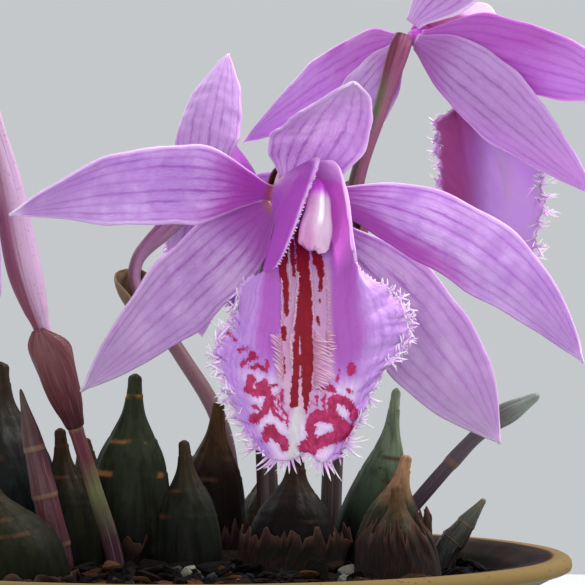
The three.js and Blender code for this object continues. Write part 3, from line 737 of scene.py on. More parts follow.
def makeBulb(name, bulb, seed):
    form = bulbForm
    scars = [0.6 + 0.02 * np.sin(seed), 0.72 + 0.015 * np.cos(2 * seed), 0.9]

    def wide(at, turn):
        ribs = bulb["ribs"] * np.sin(form["ribs"] * turn + 3 * np.sin(turn + seed) + 2.4 * at)
        ribs = ribs + 0.7 * bulb["ribs"] * np.sin(form["fineRibs"] * turn + 2 * seed)
        ribs = ribs * (1 + 2.6 * smoothstep(at, 0.5, 0.8)) * smoothstep(at, 0.05, 0.3)
        dents = form["dent"] * np.sin(3 * turn + 7 * at + seed) * np.sin(5.5 * at + 2 * turn)
        bare = bulb["radius"] * along(bulbShape, at) * (1 + ribs + dents)
        for k, scar in enumerate(scars):
            tilt = at - scar - 0.007 * np.sin(turn + 2 * k + seed)
            bare = bare + form["scarRise"] * peak(tilt, 0.006) * (0.6 + 0.4 * np.sin(3 * turn + k))
            bare = bare - form["scarGroove"] * peak(tilt - 0.014, 0.007)
        frayed = 1 + form["fray"] * smoothstep(at, 0.93, 0.99) * np.sin(7 * turn + seed)
        return bare * frayed * roundedEnd(at, 0.975, 0.026, 0.03)

    rings = ringsOn(bulbPath(bulb), wide, form["rings"], form["sides"])
    scarred = sum(peak(evens(form["rings"]) - scar, 0.012) for scar in scars)
    shape = ringShape(rings, scar=scarred)
    put(f"{name}_body", shape, bulbFinish(name, bulb, seed), f"bulb_{name}")


def bulbFinish(name, bulb, seed):
    beginFinish(f"bulb skin {name}", bulbForm, Specular_IOR_Level=0.05)
    place = inSpace()
    mottle = spots(place, 220.0, 5.0, 0.6)
    broad = spots(place, 70.0 + seed, 3.0)
    streaks = spots(stretched(place, (700, 700, 60)), 1.0, 4.0)
    soil, body, neck, tip = bulb["tones"]
    height = swayed(acrossAndUp()[1], broad, 0.2)
    skin = toneRamp(height, [(0.25, soil), (0.42, body), (0.66, neck), (0.93, tip)])
    paler = [min(1.0, c * 1.6 + 0.006) for c in tone(*body)[:3]]
    skin = coated(
        skin,
        ("streak", streaks, 0.42, 0.7, 0.5, "MULTIPLY"),
        ((*paler, 1.0), mottle, 0.54, 0.72, 0.5),
    )
    patchy = ease(spots(place, 130.0, 3.0), 0.5, 0.62)
    scar = times(ease(told("scar"), 0.2, 0.9, 0, 0.9), patchy)
    skin = blendTones(scar, skin, bulb.get("scar", bulbForm["scar"]))
    skin = coated(skin, ("dark", spots(place, 480.0, 4.0), 0.62, 0.72, 0.6))
    return endFinish(skin, ease(mottle, 0.3, 0.7, 0.42, 0.66), plus(streaks, mottle), 0.0003, 0.7)


for seed, (name, bulb) in enumerate(bulbs.items()):
    makeBulb(name, bulb, seed + 1.3)
print("bulbs ready")


# Papery sheaths: three old ones at the right that are nodes of the model, and ragged collars round
# the feet of other bulbs

husks = {
    "husk_right_front": {"bulb": "right_front", "turn": -100, "halfTurn": 120, "top": 59, "node": True},
    "husk_tan_tip": {"bulb": "tan_tip", "turn": -30, "halfTurn": 60, "top": 60, "node": True},
    "husk_middle": {"bulb": "middle", "turn": -70, "halfTurn": 105, "top": 57, "node": True},
    "collar_left_front": {"bulb": "left_front", "turn": -60, "halfTurn": 100, "top": 51.4},
    "collar_left_rear": {"bulb": "left_rear", "turn": -80, "halfTurn": 80, "top": 54},
    "collar_tall": {"bulb": "tall", "turn": -140, "halfTurn": 70, "top": 55},
    "collar_maroon": {"bulb": "maroon", "turn": -60, "halfTurn": 90, "top": 57},
    "collar_rear_left": {"bulb": "rear_left", "turn": 80, "halfTurn": 120, "top": 55},
    "collar_rear_middle": {"bulb": "rear_middle", "turn": 60, "halfTurn": 120, "top": 55},
}

huskForm = {
    "base": 51, "buried": 2.5, "flare": 1.4, "clear": 0.35, "ease": 0.5, "thick": 0.22, "rows": 24,
    "columns": 70, "tones": [(0.3, (14, 7, 7)), (0.48, (28, 15, 13)), (0.7, (56, 34, 26))],
    "dark": (14, 9, 8), "worn": (84, 56, 40),
}
collarForm = {**huskForm, "buried": 4.0, "flare": 1.4 * 0.45}


def makeHusk(name, husk, finish, seed):
    bulb, own = bulbs[husk["bulb"]], "node" in husk
    form = huskForm if own else collarForm
    foot, tip = bulb["foot"], bulb["tip"]
    s = evens(form["rows"])
    t = np.linspace(-1, 1, form["columns"])
    base = form["base"] - form["buried"]
    teeth = 0.24 * np.abs(np.sin(2.6 * 4.5 * (t + 1) + seed)) + 0.3 * lumps(spread(9 * t, 0, seed), 0.5)
    teeth = teeth + 0.12 * lumps(spread(60 * t, 0, 0), 1.0, seed)
    z = base + (husk["top"] - base) * s * np.clip(1 - teeth, 0.35, 1)
    at = (z - bulbFoot) / (tip[2] - bulbFoot)
    out = bulb["radius"] * along(bulbShape, at) + form["clear"] + form["ease"] + form["flare"] * s * s
    crease = np.sin(14 * t + 2 * np.sin(5 * t + seed)) * 0.22 + 0.16 * np.sin(37 * t + seed + 3 * s)
    out = out + crease * s + 0.5 * s * s * np.sin(6 * t + seed)
    angle = np.radians(husk["turn"] + husk["halfTurn"] * t + 4 * np.sin(5 * s + seed))
    x, y = (foot[k] + (tip[k] - foot[k]) * at * at for k in range(2))
    grid = spread(x + out * np.cos(angle), y + out * np.sin(angle), z)
    shape = bladeShape(grid, form["thick"], ragged=s)
    put(f"{name}_paper" if own else name, shape, finish, name if own else None)


def huskFinish():
    beginFinish("old sheath paper", huskForm, Roughness=0.8, Specular_IOR_Level=0.2)
    fibres = streaked((90, 4, 1), 5.0, 0.6)
    skin = coated(
        toneRamp(fibres, huskForm["tones"]),
        ("dark", spots(inSpace(), 160.0, 4.0), 0.42, 0.68, 0.7),
        ("worn", told("ragged"), 0.7, 1.0, 0.5),
    )
    return endFinish(skin, None, fibres, 0.0003, 0.8)


paper = huskFinish()
for seed, (name, husk) in enumerate(husks.items()):
    makeHusk(name, husk, paper, seed * 1.7)
print("sheaths ready")


# A dried flower stalk and two shoots

rods = {
    "dry_stalk": {
        "path": [[32, 24, 38], [34.6, 24, 52], [40.4, 24, 60.5], [51, 23, 72], [60.5, 22, 78]],
        "radius": [[0, 1.2], [0.7, 1.2], [0.85, 1.7], [1, 0.7]],
        "slot": "husk", "rough": 0.6, "twist": 0.16, "nodes": [0.36, 0.62],
        "tones": [(0.2, (44, 34, 38)), (0.6, (84, 70, 80)), (0.78, (98, 92, 94)), (0.92, (128, 140, 130))],
    },
    "new_shoot": {
        "path": [[-19.5, -13, 38], [-21, -13.5, 51], [-23.8, -14, 64], [-27.5, -14, 80]],
        "radius": [[0, 2], [0.5, 2.2], [0.85, 1.5], [1, 0.4]],
        "slot": "stalk", "rough": 0.4, "twist": 0.05, "nodes": [0.42, 0.63, 0.8],
        "tones": [(0.3, (44, 16, 22)), (0.55, (78, 30, 40)), (0.8, (70, 32, 40)), (1, (66, 50, 38))],
    },
    "side_shoot": {
        "path": [[41.5, 8, 38], [43, 8, 50], [46, 8, 55], [50.2, 8, 60.6]],
        "radius": [[0, 2], [0.5, 2.2], [0.8, 1.4], [1, 0.5]],
        "slot": "bulb", "rough": 0.4, "twist": 0.08, "nodes": [0.55, 0.75],
        "tones": [(0.4, (22, 24, 21)), (0.65, (40, 45, 38)), (0.85, (70, 76, 62)), (1, (104, 98, 76))],
    },
}

rodForm = {"rings": 110, "sides": 28, "sheathStep": 0.16}

stemForm = {"pale": (170, 140, 140), "dark": (60, 22, 34), "specks": (96, 34, 52), "joint": (120, 96, 70)}


def makeRod(name, rod, seed):
    def wide(at, turn):
        shrunk = 1 + rod["twist"] * np.sin(4 * turn + 9 * at + seed) * np.sin(3 + 5 * at)
        shrunk = shrunk + 0.4 * rod["twist"] * np.sin(9 * turn - 5 * at)
        wrapped = sum(rodForm["sheathStep"] * between(at, n - 0.012, n, n, n + 0.09) for n in rod["nodes"])
        return (along(rod["radius"], at) * shrunk + wrapped) * roundedEnd(at, 0.97, 0.032, 0.03)

    rings = ringsOn(rod["path"], wide, rodForm["rings"], rodForm["sides"])
    joint = sum(peak(evens(rodForm["rings"]) - n, 0.012) for n in rod["nodes"])
    finish = stemFinish(f"{name.replace('_', ' ')} skin", rod["tones"], rod["rough"])
    put(f"{name}_skin", ringShape(rings, joint=joint), finish, name)


# tones run from the foot to the top; the lighter tone given after them is painted light on the side that
# faces the light
def stemFinish(name, tones, rough, sunny=None):
    beginFinish(name, stemForm, Specular_IOR_Level=0.35)
    space = inSpace()
    streaks = streaked((34, 5, 1), 5.0, 0.6)
    specks = spots(space, 1500.0, 2.0)
    skin = toneRamp(swayed(acrossAndUp()[1], spots(space, 190.0, 3.0), 0.08), tones)
    if sunny:
        # painted light on the side that faces the light
        skin = coated(skin, (sunny, swayed(told("sunny"), streaks, 0.8), 0.0, 0.85, 0.85))
    skin = coated(
        skin,
        ("pale", streaks, 0.5, 0.72, 0.22),
        ("dark", streaks, 0.46, 0.3, 0.45, "MULTIPLY"),
        ("specks", specks, 0.6, 0.7, 0.28),
        ("joint", told("joint"), 0.3, 0.9, 0.7),
    )
    height = plus(streaks, times(specks, 0.4))
    return endFinish(skin, ease(streaks, 0.3, 0.7, rough, rough + 0.15), height, 0.0002, 0.6)


for seed, (name, rod) in enumerate(rods.items()):
    makeRod(name, rod, seed * 2.1)
print("shoots ready")


# The compost: a mounded bed with chips of bark, grit and pumice lying on it

compost = {
    "level": 47.6, "mound": 1.6, "relief": 0.9,
    "edge": 52.3,
    "below": [[32, 6.7], [35.2, 8.2], [43.3, 16], [48.7, 33], [52.2, 44]],
    "belowSteps": 14, "rings": 70, "sectors": 168, "middle": 0.004,
    "soil": [(0.34, (7, 6, 6)), (0.52, (13, 12, 12)), (0.72, (26, 24, 23))],
    "crumbs": (34, 30, 28),
}

chips = {
    "bark": {
        "count": 390, "length": (2.2, 5.6), "flat": (0.5, 0.26), "power": 0.62, "tilt": 0.32, "lift": 1,
        "tones": [(0.1, (9, 7, 7)), (0.5, (18, 13, 11)), (0.85, (36, 24, 18)), (0.97, (86, 54, 32))],
    },
    "grit": {
        "count": 350, "length": (1.0, 2.2), "flat": (0.8, 0.62), "power": 0.8, "tilt": 0.8, "lift": 0,
        "tones": [(0.2, (14, 17, 21)), (0.6, (28, 32, 37)), (0.95, (60, 62, 62))],
    },
    "pumice": {
        "count": 18, "length": (1.8, 3.6), "flat": (0.85, 0.7), "power": 0.85, "tilt": 0.8, "lift": 0,
        "tones": [(0.2, (98, 102, 92)), (0.8, (132, 130, 116))],
    },
}

# chips lie within the circle, and each one's end stays within the wall; stems are kept clear
chipField = {
    "seed": 12, "circle": 51.2, "wall": 52.2, "rodClear": 2.4, "stalkClear": 2.2, "knock": 0.42,
    "grain": (12, 8, 7), "crumbs": (30, 24, 20),
}


def compostHeight(x, y):
    r = np.hypot(x, y) / compost["edge"]
    waves = np.sin(0.52 * x + 1.3) * np.sin(0.47 * y) + 0.6 * np.sin(0.9 * x - 1.1 * y)
    return compost["level"] + compost["mound"] * (1 - r * r) + compost["relief"] * waves * (1 - 0.4 * r)


def makeCompost():
    turn = turnsOf(compost["sectors"])
    below = splineThrough(compost["below"], np.linspace(0, 4, compost["belowSteps"]))
    r, z = below[:, :1], below[:, 1:]
    low = spread(r * np.cos(turn), r * np.sin(turn), z)
    r = compost["edge"] * np.linspace(1, compost["middle"], compost["rings"])[:, None]
    x, y = r * np.cos(turn), r * np.sin(turn)
    flat = spread(x, y, 0)
    crumb = 0.55 * lumps(flat, 2.6, 1) + 0.3 * lumps(flat, 1.1, 2) + 0.7 * np.abs(lumps(flat, 4.5, 3))
    top = spread(x, y, compostHeight(x, y) + crumb - 0.2)
    put("compost_bed", ringShape(np.concatenate([low, top])), soilFinish(), "compost")


# a ball of 42 points, from which chips and anther caps are pressed
def roundBall():
    work = bmesh.new()
    bmesh.ops.create_icosphere(work, subdivisions=2, radius=1)
    points = np.array([v.co[:] for v in work.verts])
    faces = [[v.index for v in face.verts] for face in work.faces]
    work.free()
    return points, faces


# where bulbs, shoots and stalks come up, and how far from there chips stay
def standingPlaces():
    places = [(*bulb["foot"], bulb["radius"] * 0.98) for bulb in bulbs.values()]
    places += [(*rod["path"][1][:2], chipField["rodClear"]) for rod in rods.values()]
    return places + [(*bloom["path"][1][:2], chipField["stalkClear"]) for bloom in blooms.values()]


# a rough chip: the ball pressed towards a box and knocked about
def chipShape(random, chip, ball, x, y, angle, long):
    size = long / 2 * np.array([1, random.uniform(chip["flat"][0], 0.9), chip["flat"][1]])
    form = np.sign(ball) * np.abs(ball) ** chip["power"]
    knocks = lumps(ball + random.uniform(0, 50, 3), 0.9)
    form = form * (1 + chipField["knock"] * knocks)[:, None] * size
    tilt = random.normal(0, chip["tilt"], 2)
    z = compostHeight(x, y) + 0.55 * size[2] + random.uniform(0, 0.5) * chip["lift"]
    return form @ turning(*tilt, angle * 7) + [x, y, z]


def makeChips():
    random = np.random.default_rng(chipField["seed"])
    ball, faces = roundBall()
    standing = standingPlaces()
    shapes = []
    for number, chip in enumerate(chips.values()):
        made = 0
        while made < chip["count"]:
            r, angle = chipField["circle"] * np.sqrt(random.uniform()), random.uniform(0, 2 * np.pi)
            x, y = r * np.cos(angle), r * np.sin(angle)
            long = random.uniform(*chip["length"])
            taken = any(np.hypot(x - bx, y - by) < br + 0.3 * long for bx, by, br in standing)
            if taken or r + 0.5 * long > chipField["wall"]:
                continue
            made += 1
            form = chipShape(random, chip, ball, x, y, angle, long)
            shapes.append(shapeOf(form, faces, tint=random.uniform(), kind=number / 2))
    put("compost_chips", joined(shapes), chipFinish(), None, smooth=False)


def soilFinish():
    beginFinish("compost crumb", compost, Roughness=0.95, Specular_IOR_Level=0.04)
    place = inSpace()
    coarse = spots(place, 420.0, 5.0, 0.65)
    fine = spots(place, 1900.0, 3.0)
    soil = coated(toneRamp(coarse, compost["soil"]), ("crumbs", fine, 0.6, 0.7, 1.0))
    return endFinish(soil, None, plus(coarse, fine), 0.0008, 0.9)


def chipFinish():
    beginFinish("bark and grit", chipField, Roughness=0.85, Specular_IOR_Level=0.06)
    place, kind = inSpace(), told("kind")
    grain = spots(stretched(place, (500, 1400, 900)), 1.0, 4.0)
    fine = spots(place, 2600.0, 3.0)
    bark, grit, pumice = (toneRamp(told("tint"), chip["tones"]) for chip in chips.values())
    stone = coated(
        bark,
        ("grain", grain, 0.45, 0.7, 0.6),
        (grit, kind, 0.2, 0.3, 1.0),
        (pumice, kind, 0.7, 0.8, 1.0),
        ("crumbs", fine, 0.58, 0.7, 0.4),
    )
    return endFinish(stone, None, plus(grain, fine), 0.0004, 0.8)


makeCompost()
makeChips()
print("compost ready")


# The four flower stalks, each with a sheathing bract; their paths are told with the blooms above

stalkRadius = [[0, 1.9], [0.45, 1.55], [0.7, 1.35], [0.86, 1.95], [1, 1.8]]
stalkForm = {"rings": 128, "sides": 32, "rib": 0.075, "node": 0.1, "sun": (0.9, -0.45, 0.2)}
bractForm = {
    "turn": 90, "halfTurn": 155, "flare": 1.1, "ease": 0.25, "gap": 0.35, "thick": 0.4, "rows": 72,
    "columns": 56, "vein": 0.05, "veins": 13, "pathSteps": 801,
    "pale": (164, 116, 104), "dark": (96, 34, 44),
}

stalkTones = {
    "front": [
        (0, (38, 26, 26)), (0.3, (62, 42, 40)), (0.6, (104, 58, 72)), (0.85, (132, 60, 100)),
        (1, (150, 110, 130)),
    ],
    "right": [
        (0, (36, 26, 24)), (0.4, (74, 54, 50)), (0.6, (80, 54, 52)), (0.72, (84, 96, 56)),
        (0.82, (112, 40, 70)), (1, (100, 30, 64)),
    ],
    "rear": [
        (0, (40, 30, 28)), (0.4, (132, 92, 100)), (0.6, (110, 70, 80)), (0.8, (128, 62, 108)),
        (1, (138, 62, 120)),
    ],
    "left": [
        (0, (32, 14, 26)), (0.13, (52, 20, 34)), (0.22, (98, 106, 62)), (0.28, (94, 42, 52)),
        (0.5, (104, 42, 60)), (0.75, (122, 62, 96)), (0.9, (176, 148, 158)), (1, (196, 196, 160)),
    ],
}

# lighter tones painted on the side of each stalk that faces the light: painted light
paintedLitTones = {"left": (204, 170, 204), "right": (164, 92, 128), "rear": (176, 124, 166)}

bractTones = {
    "front": [(0, (92, 50, 52)), (0.5, (120, 66, 66)), (1, (150, 96, 84))],
    "right": [(0, (98, 62, 44)), (0.5, (128, 84, 60)), (1, (156, 112, 80))],
    "rear": [(0, (92, 78, 50)), (0.5, (118, 94, 66)), (1, (140, 112, 84))],
    "left": [(0, (58, 22, 30)), (0.35, (84, 38, 44)), (0.7, (104, 58, 62)), (1, (122, 74, 78))],
}

bractRims = {"front": (150, 104, 84), "right": (166, 130, 96), "rear": (150, 120, 92), "left": (92, 44, 48)}


def makeStalk(name, bloom, seed):
    bractFoot = bloom["bract"][0]

    def wide(at, turn):
        ribs = stalkForm["rib"] * np.cos(6 * turn + 3 * at) * between(at, 0.76, 0.84, 0.95, 0.99)
        fine = 0.012 * np.sin(15 * turn + seed) + 0.012 * np.sin(4 * turn + 12 * at)
        node = stalkForm["node"] * peak(at - bractFoot + 0.004, 0.006)
        return along(bloom.get("radius", stalkRadius), at) * bloom["size"] * (1 + ribs + fine + node)

    rings = ringsOn(bloom["path"], wide, stalkForm["rings"], stalkForm["sides"])
    at = evens(stalkForm["rings"])
    # painted light: the side facing the sun direction is marked for a lighter tone
    sunny = unit(rings - rings.mean(1, keepdims=True)) @ unit(np.array(stalkForm["sun"]))
    shape = ringShape(rings, joint=peak(at - bractFoot, 0.008), sunny=sunny * smoothstep(at, 0.46, 0.52))
    finish = stemFinish(f"{name} stalk skin", stalkTones[name], 0.42, paintedLitTones.get(name))
    put(f"{name}_stem", shape, finish, f"{name}_stalk")


def makeBract(name, bloom, seed):
    form, (low, high) = bractForm, bloom["bract"]
    s = evens(form["rows"])
    t = np.linspace(-1, 1, form["columns"])
    at = low + (high - low) * s
    nearest = np.round(at * (form["pathSteps"] - 1)).astype(int)
    lines = framesOn(bloom["path"], form["pathSteps"])
    centre, side, other = (line[nearest] for line in lines)
    gap = (form["gap"] + 0.35) * (0.3 + 0.7 * smoothstep(s, 0.0, 0.35))
    clear = along(bloom.get("radius", stalkRadius), at) * bloom["size"] + gap
    flare = bloom.get("flare", form["flare"]) * np.sin(np.pi * 0.8 * s) ** 2
    flare = flare * (1 - 0.75 * smoothstep(s, 0.84, 1))
    lift = 0.16 * np.sin(9 * s + 2 * t + seed) * np.abs(t) + 0.5 * np.abs(t) ** 3 * smoothstep(s, 0.2, 0.8)
    fold = 0.1 * np.sin(13 * t + seed) * smoothstep(s, 0.05, 0.3)
    out = clear + form["ease"] * smoothstep(s, 0, 0.2) + flare + lift + fold
    half = np.radians(form["halfTurn"]) * (1 - 0.86 * s**3) * (1 - 0.1 * smoothstep(s, 0.9, 1))
    turn = np.radians(bloom.get("bractTurn", form["turn"])) + half * t
    grid = centre + side * (out * np.cos(turn))[..., None] + other * (out * np.sin(turn))[..., None]
    veins = form["vein"] * np.cos(2 * form["veins"] * np.pi * t) * (1 - np.abs(t) ** 4)
    ragged = np.maximum(np.abs(t) ** 8, smoothstep(s, 0.94, 1))
    shape = bladeShape(grid, form["thick"], veins, veins, ragged=ragged)
    put(f"{name}_sheath", shape, bractFinish(name), f"{name}_bract")


def bractFinish(name):
    beginFinish(f"{name} bract skin", bractForm, Specular_IOR_Level=0.3)
    streaks = streaked((46, 3, 1), 5.0)
    broad = spots(inSpace(), 170.0, 4.0)
    skin = coated(
        toneRamp(swayed(acrossAndUp()[1], broad, 0.5), bractTones[name]),
        ("pale", streaks, 0.5, 0.72, 0.3),
        ("dark", streaks, 0.46, 0.3, 0.5, "MULTIPLY"),
        (bractRims[name], told("ragged"), 0.4, 1.0, 0.6),
    )
    return endFinish(skin, ease(broad, 0.3, 0.7, 0.42, 0.62), streaks, 0.00025, 0.7)


for seed, (name, bloom) in enumerate(blooms.items()):
    makeStalk(name, bloom, seed * 1.3)
    makeBract(name, bloom, seed * 1.9)
print("stalks ready")


# Sepals and petals

outlines = {
    "sepal": [
        [0, 0.24], [0.08, 0.5], [0.16, 0.8], [0.27, 0.97], [0.38, 1], [0.5, 0.97], [0.65, 0.8],
        [0.82, 0.48], [0.93, 0.2], [1, 0.03],
    ],
    "petal": [
        [0, 0.2], [0.08, 0.45], [0.16, 0.76], [0.25, 0.96], [0.36, 1], [0.5, 0.97], [0.64, 0.82],
        [0.8, 0.5], [0.92, 0.22], [1, 0.03],
    ],
}

usualTepals = {
    "dorsal_sepal": {"kind": "sepal", "bearing": (90, 92), "lean": (28, 60), "length": 42, "width": 14},
    "left_petal": {"kind": "petal", "bearing": (176, 196), "lean": (14, 16), "length": 50, "width": 12.6},
    "right_petal": {"kind": "petal", "bearing": (4, -16), "lean": (14, 16), "length": 50, "width": 12.6},
    "left_sepal": {"kind": "sepal", "bearing": (226, 232), "lean": (4, 10), "length": 47, "width": 14},
    "right_sepal": {"kind": "sepal", "bearing": (314, 308), "lean": (4, 10), "length": 47, "width": 14},
}
commonTepal = {"twist": (0, 0), "swell": 1, "flush": (0.2, 0.1, 0.1), "pale": (0.5, 0.3, 0.3)}

# flush is the deep magenta: how far up from the base, and how strong on the margin at either
# side; pale is how much the tip and the two margins fade to white
tepals = {
    "front": {
        "dorsal_sepal": {
            "bearing": (75, 121), "lean": (36, 79), "length": 32, "width": 16, "twist": (-1, -7),
            "flush": (0.02, 0.1, 0.1), "pale": (0.5, 0.5, 0.35),
        },
        "left_petal": {
            "bearing": (178, 206.5), "lean": (13.5, 12.5), "length": 50, "width": 12.9,
            "twist": (-3, -12), "swell": 1.1, "flush": (0.24, 0.02, 0.3), "pale": (0.7, 0.5, 0.5),
        },
        "right_petal": {
            "bearing": (7.5, -51.5), "lean": (10, 15), "length": 58, "width": 12.9,
            "twist": (0, 6), "swell": 1.4, "flush": (0.22, 1.0, 0), "pale": (0.5, 0.1, 0.5),
        },
        "left_sepal": {
            "bearing": (228, 230.5), "lean": (4, 10.5), "length": 46.5, "width": 13.7,
            "twist": (0, -4), "flush": (0.2, 0.1, 0.2), "pale": (0.5, 0.3, 0.2),
        },
        "right_sepal": {
            "bearing": (327, 313), "lean": (5, 7), "length": 54, "width": 17, "twist": (1, 8),
            "swell": 1.5, "flush": (0.2, 0.15, 0.1), "pale": (0.5, 0.3, 0.3),
        },
    },
    "right": {
        "dorsal_sepal": {"bearing": (116, 114), "width": 17, "flush": (0, 0, 0), "pale": (0.5, 1, 1)},
        "left_petal": {"bearing": (188, 202), "flush": (0.6, 0.6, 0.5)},
        "right_petal": {"bearing": (-17, -29), "lean": (0, -9), "length": 48, "flush": (0.45, 0.5, 0.3)},
        "left_sepal": {"bearing": (210, 217), "lean": (6, 8), "length": 50},
        "right_sepal": {"bearing": (314, 312), "lean": (-8, -14), "length": 40, "width": 12.6},
    },
    "rear": {
        "dorsal_sepal": {"lean": (36, 78), "length": 35},
        "left_petal": {"bearing": (198, 228), "lean": (24, 46), "length": 44},
        "right_petal": {"bearing": (-2, -14), "lean": (14, 30)},
        "left_sepal": {"bearing": (220, 234), "lean": (10, 26)},
        "right_sepal": {"bearing": (296, 284), "lean": (10, 26), "length": 40},
    },
    "left": {},
}

tepalForm = {
    "cup": 0.22, "start": 2.4, "petalAhead": 1.15, "thick": 0.5, "veins": 9, "vein": 0.035,
    "midrib": 0.2, "wave": 0.42, "pucker": 0.26, "crowding": 0.86,
}


# points from -1 to 1 that crowd towards both ends, the more the nearer crowding is to 1
def crowded(count, crowding):
    return np.sin(np.linspace(-1, 1, count) * np.pi / 2 * crowding) / np.sin(np.pi / 2 * crowding)


# the directions ahead and across at places s along a tepal, which bends and twists evenly
def tepalHeading(tepal, s):
    bearing, lean, twist = (
        np.radians(tepal[key][0]) + (np.radians(tepal[key][1]) - np.radians(tepal[key][0])) * s
        for key in ("bearing", "lean", "twist")
    )
    flat = spread(-np.sin(bearing), 0, np.cos(bearing))
    ahead = spread(np.cos(lean) * np.cos(bearing), -np.sin(lean), np.cos(lean) * np.sin(bearing))
    turn = twist[:, None]
    return ahead, flat * np.cos(turn) + np.cross(ahead, flat) * np.sin(turn)


# the line up a tepal's middle
def tepalMiddle(tepal, steps):
    form, bearing = tepalForm, np.radians(tepal["bearing"][0])
    forward = form["petalAhead"] if tepal["kind"] == "petal" else 0
    first = [np.cos(bearing) * form["start"], -forward, np.sin(bearing) * form["start"]]
    ahead = tepalHeading(tepal, np.linspace(0, 1, steps + 1)[1:])[0]
    gone = np.cumsum(ahead * tepal["length"] / steps, 0)
    return np.array(first) + np.concatenate([[[0, 0, 0]], gone])


# how strongly the flush and the pale margin show at each place
def tepalFields(tepal, s, t):
    up, low, high = tepal["flush"]
    lengthwise = 1 - smoothstep(s, 0.35, 0.75)
    flush = 1 - smoothstep(s, up * 0.25, up * 1.6) if up else 0 * s
    flush = flush + low * smoothstep(-t, 0.0, 0.9) * lengthwise + high * smoothstep(t, 0.3, 1.0) * lengthwise
    tip, left, right = tepal["pale"]
    pale = tip * smoothstep(s, 0.9, 1) + left * smoothstep(-t, 0.78, 1) + right * smoothstep(t, 0.78, 1)
    return {"flush": np.clip(flush, 0, 1), "pale": np.clip(pale, 0, 1)}


def tepalPiece(name, bloom, part, tepal, seed):
    form, kind = tepalForm, tepal["kind"]
    steps = (bloom["rows"] - 1) * 4
    rows, columns = bloom["grid"]
    s = evens(rows)
    t = crowded(columns, form["crowding"])
    ahead, across = (line[:, None] for line in tepalHeading(tepal, s[:, 0]))
    grow = along(outlines[kind], s ** tepal["swell"])
    half = tepal["width"] / 2 * grow
    margin = 0.03 * np.sin(17 * s + seed) + 0.02 * np.sin(31 * s + 2 * seed)
    wide = half * (t + margin * np.sign(t) * np.abs(t) ** 5 * (1 - s**6))
    wave = np.sin(8.5 * s + 1.3 * np.sign(t) + seed) + 0.6 * np.sin(19 * s - np.sign(t) * 2 + seed)
    wave = form["wave"] * wave * np.abs(t) ** 3 * grow * smoothstep(s, 0.1, 0.4)
    flat = spread(9 * s, 1.6 * t, 0)
    pucker = form["pucker"] * lumps(flat, 0.55, seed) + 0.1 * lumps(flat * [1, 2.5, 1], 0.3, seed + 1)
    deep = form["cup"] * half * t**2 + wave + pucker * grow * smoothstep(s, 0.06, 0.25)
    middle = splineThrough(tepalMiddle(tepal, steps), s[:, 0] * steps)[:, None]
    grid = middle + across * wide[..., None] + np.cross(ahead, across) * deep[..., None]
    veins = 0.5 + 0.5 * np.cos(np.pi * form["veins"] * t)
    veins = form["vein"] * veins * (1 - np.abs(t) ** 6) * smoothstep(s, 0.03, 0.2)
    groove = peak(t, 0.06) * (1 - smoothstep(s, 0.35, 0.95))
    midrib = form["midrib"] * groove * grow
    front, back = -veins * (1 - 0.6 * s) - midrib, veins + 0.9 * midrib
    grid = intoPlace(bloom, grid * bloom["size"])
    shape = bladeShape(grid, form["thick"], front, back, groove=groove, **tepalFields(tepal, s, t))
    put(f"{name}_{part}_blade", shape, tepalSkin[kind], f"{name}_{part}")


tepalTones = {
    "petal": {
        "lilac": (180, 145, 202), "between": (210, 186, 226), "vein": (152, 82, 176),
        "dull": (164, 130, 180), "flush": (158, 54, 160), "pale": (216, 198, 228),
        "back": (184, 138, 200), "foot": (150, 76, 62),
    },
    "sepal": {
        "lilac": (182, 153, 196), "between": (202, 181, 213), "vein": (156, 101, 172),
        "dull": (172, 150, 183), "flush": (154, 70, 160), "pale": (214, 200, 224),
        "back": (190, 154, 206), "foot": (160, 116, 84),
    },
}


def tepalFinish(kind):
    beginFinish(
        f"{kind} skin", tepalTones[kind], Sheen_Weight=0.08, Sheen_Roughness=0.4,
        Specular_IOR_Level=0.3, Subsurface_Weight=0.85, Subsurface_Scale=0.0015,
        Subsurface_Radius=(1.0, 0.7, 1.0),
    )
    space = inSpace()
    u, v = acrossAndUp()
    across = swayed(u, streaked((5, 7, 1)), 0.07)
    vein = plus(
        ease(rays(across, tepalForm["veins"]), -0.1, 1.0, 0, 0.8),
        ease(rays(across, 3 * tepalForm["veins"]), 0.0, 1.0, 0, 0.25),
    )
    # short veins that join the long ones, and the pale cells they leave between
    net = cells(stretched(onSurface(), (34, 20, 1)), 1.0, "DISTANCE_TO_EDGE")
    vein = plus(vein, ease(net, 0.16, 0.0, 0, 0.35))
    vein = times(vein, ease(streaked((6, 4, 1)), 0.32, 0.62, 0.3, 1.0))
    strength = times(vein, ease(v, 0.1, 0.95, 0.75, 0.42))
    cloud = spots(space, 120.0, 4.0, 0.6)
    ragged = swing(streaked((16, 4, 1), 4.0), 0.5)
    flush = plus(told("flush"), ragged)
    pale = plus(told("pale"), times(ragged, 0.8))
    foot = plus(v, times(ragged, 0.03))
    skin = coated(
        "lilac",
        ("between", cloud, 0.36, 0.66, 0.9),
        ("dull", v, 0.5, 0.97, 0.7),
    )
    skin = coated(
        blendTones(strength, skin, "vein"),
        ("flush", flush, 0.08, 1.0, 0.9),
        ("pale", pale, 0.12, 0.9, 0.85),
        ("foot", foot, 0.045, 0.012, 0.8),
    )
    behind = coated(
        blendTones(strength, "back", "vein"),
        ("pale", pale, 0.12, 0.9, 0.8),
        ("flush", flush, 0.2, 1.0, 0.6),
    )
    skin = blendTones(told("inner"), behind, skin)
    height = plus(times(cells(space, 3200.0), 0.35), times(vein, -0.5))
    return endFinish(skin, ease(cloud, 0.3, 0.7, 0.45, 0.6), height, 0.0001, 0.5)


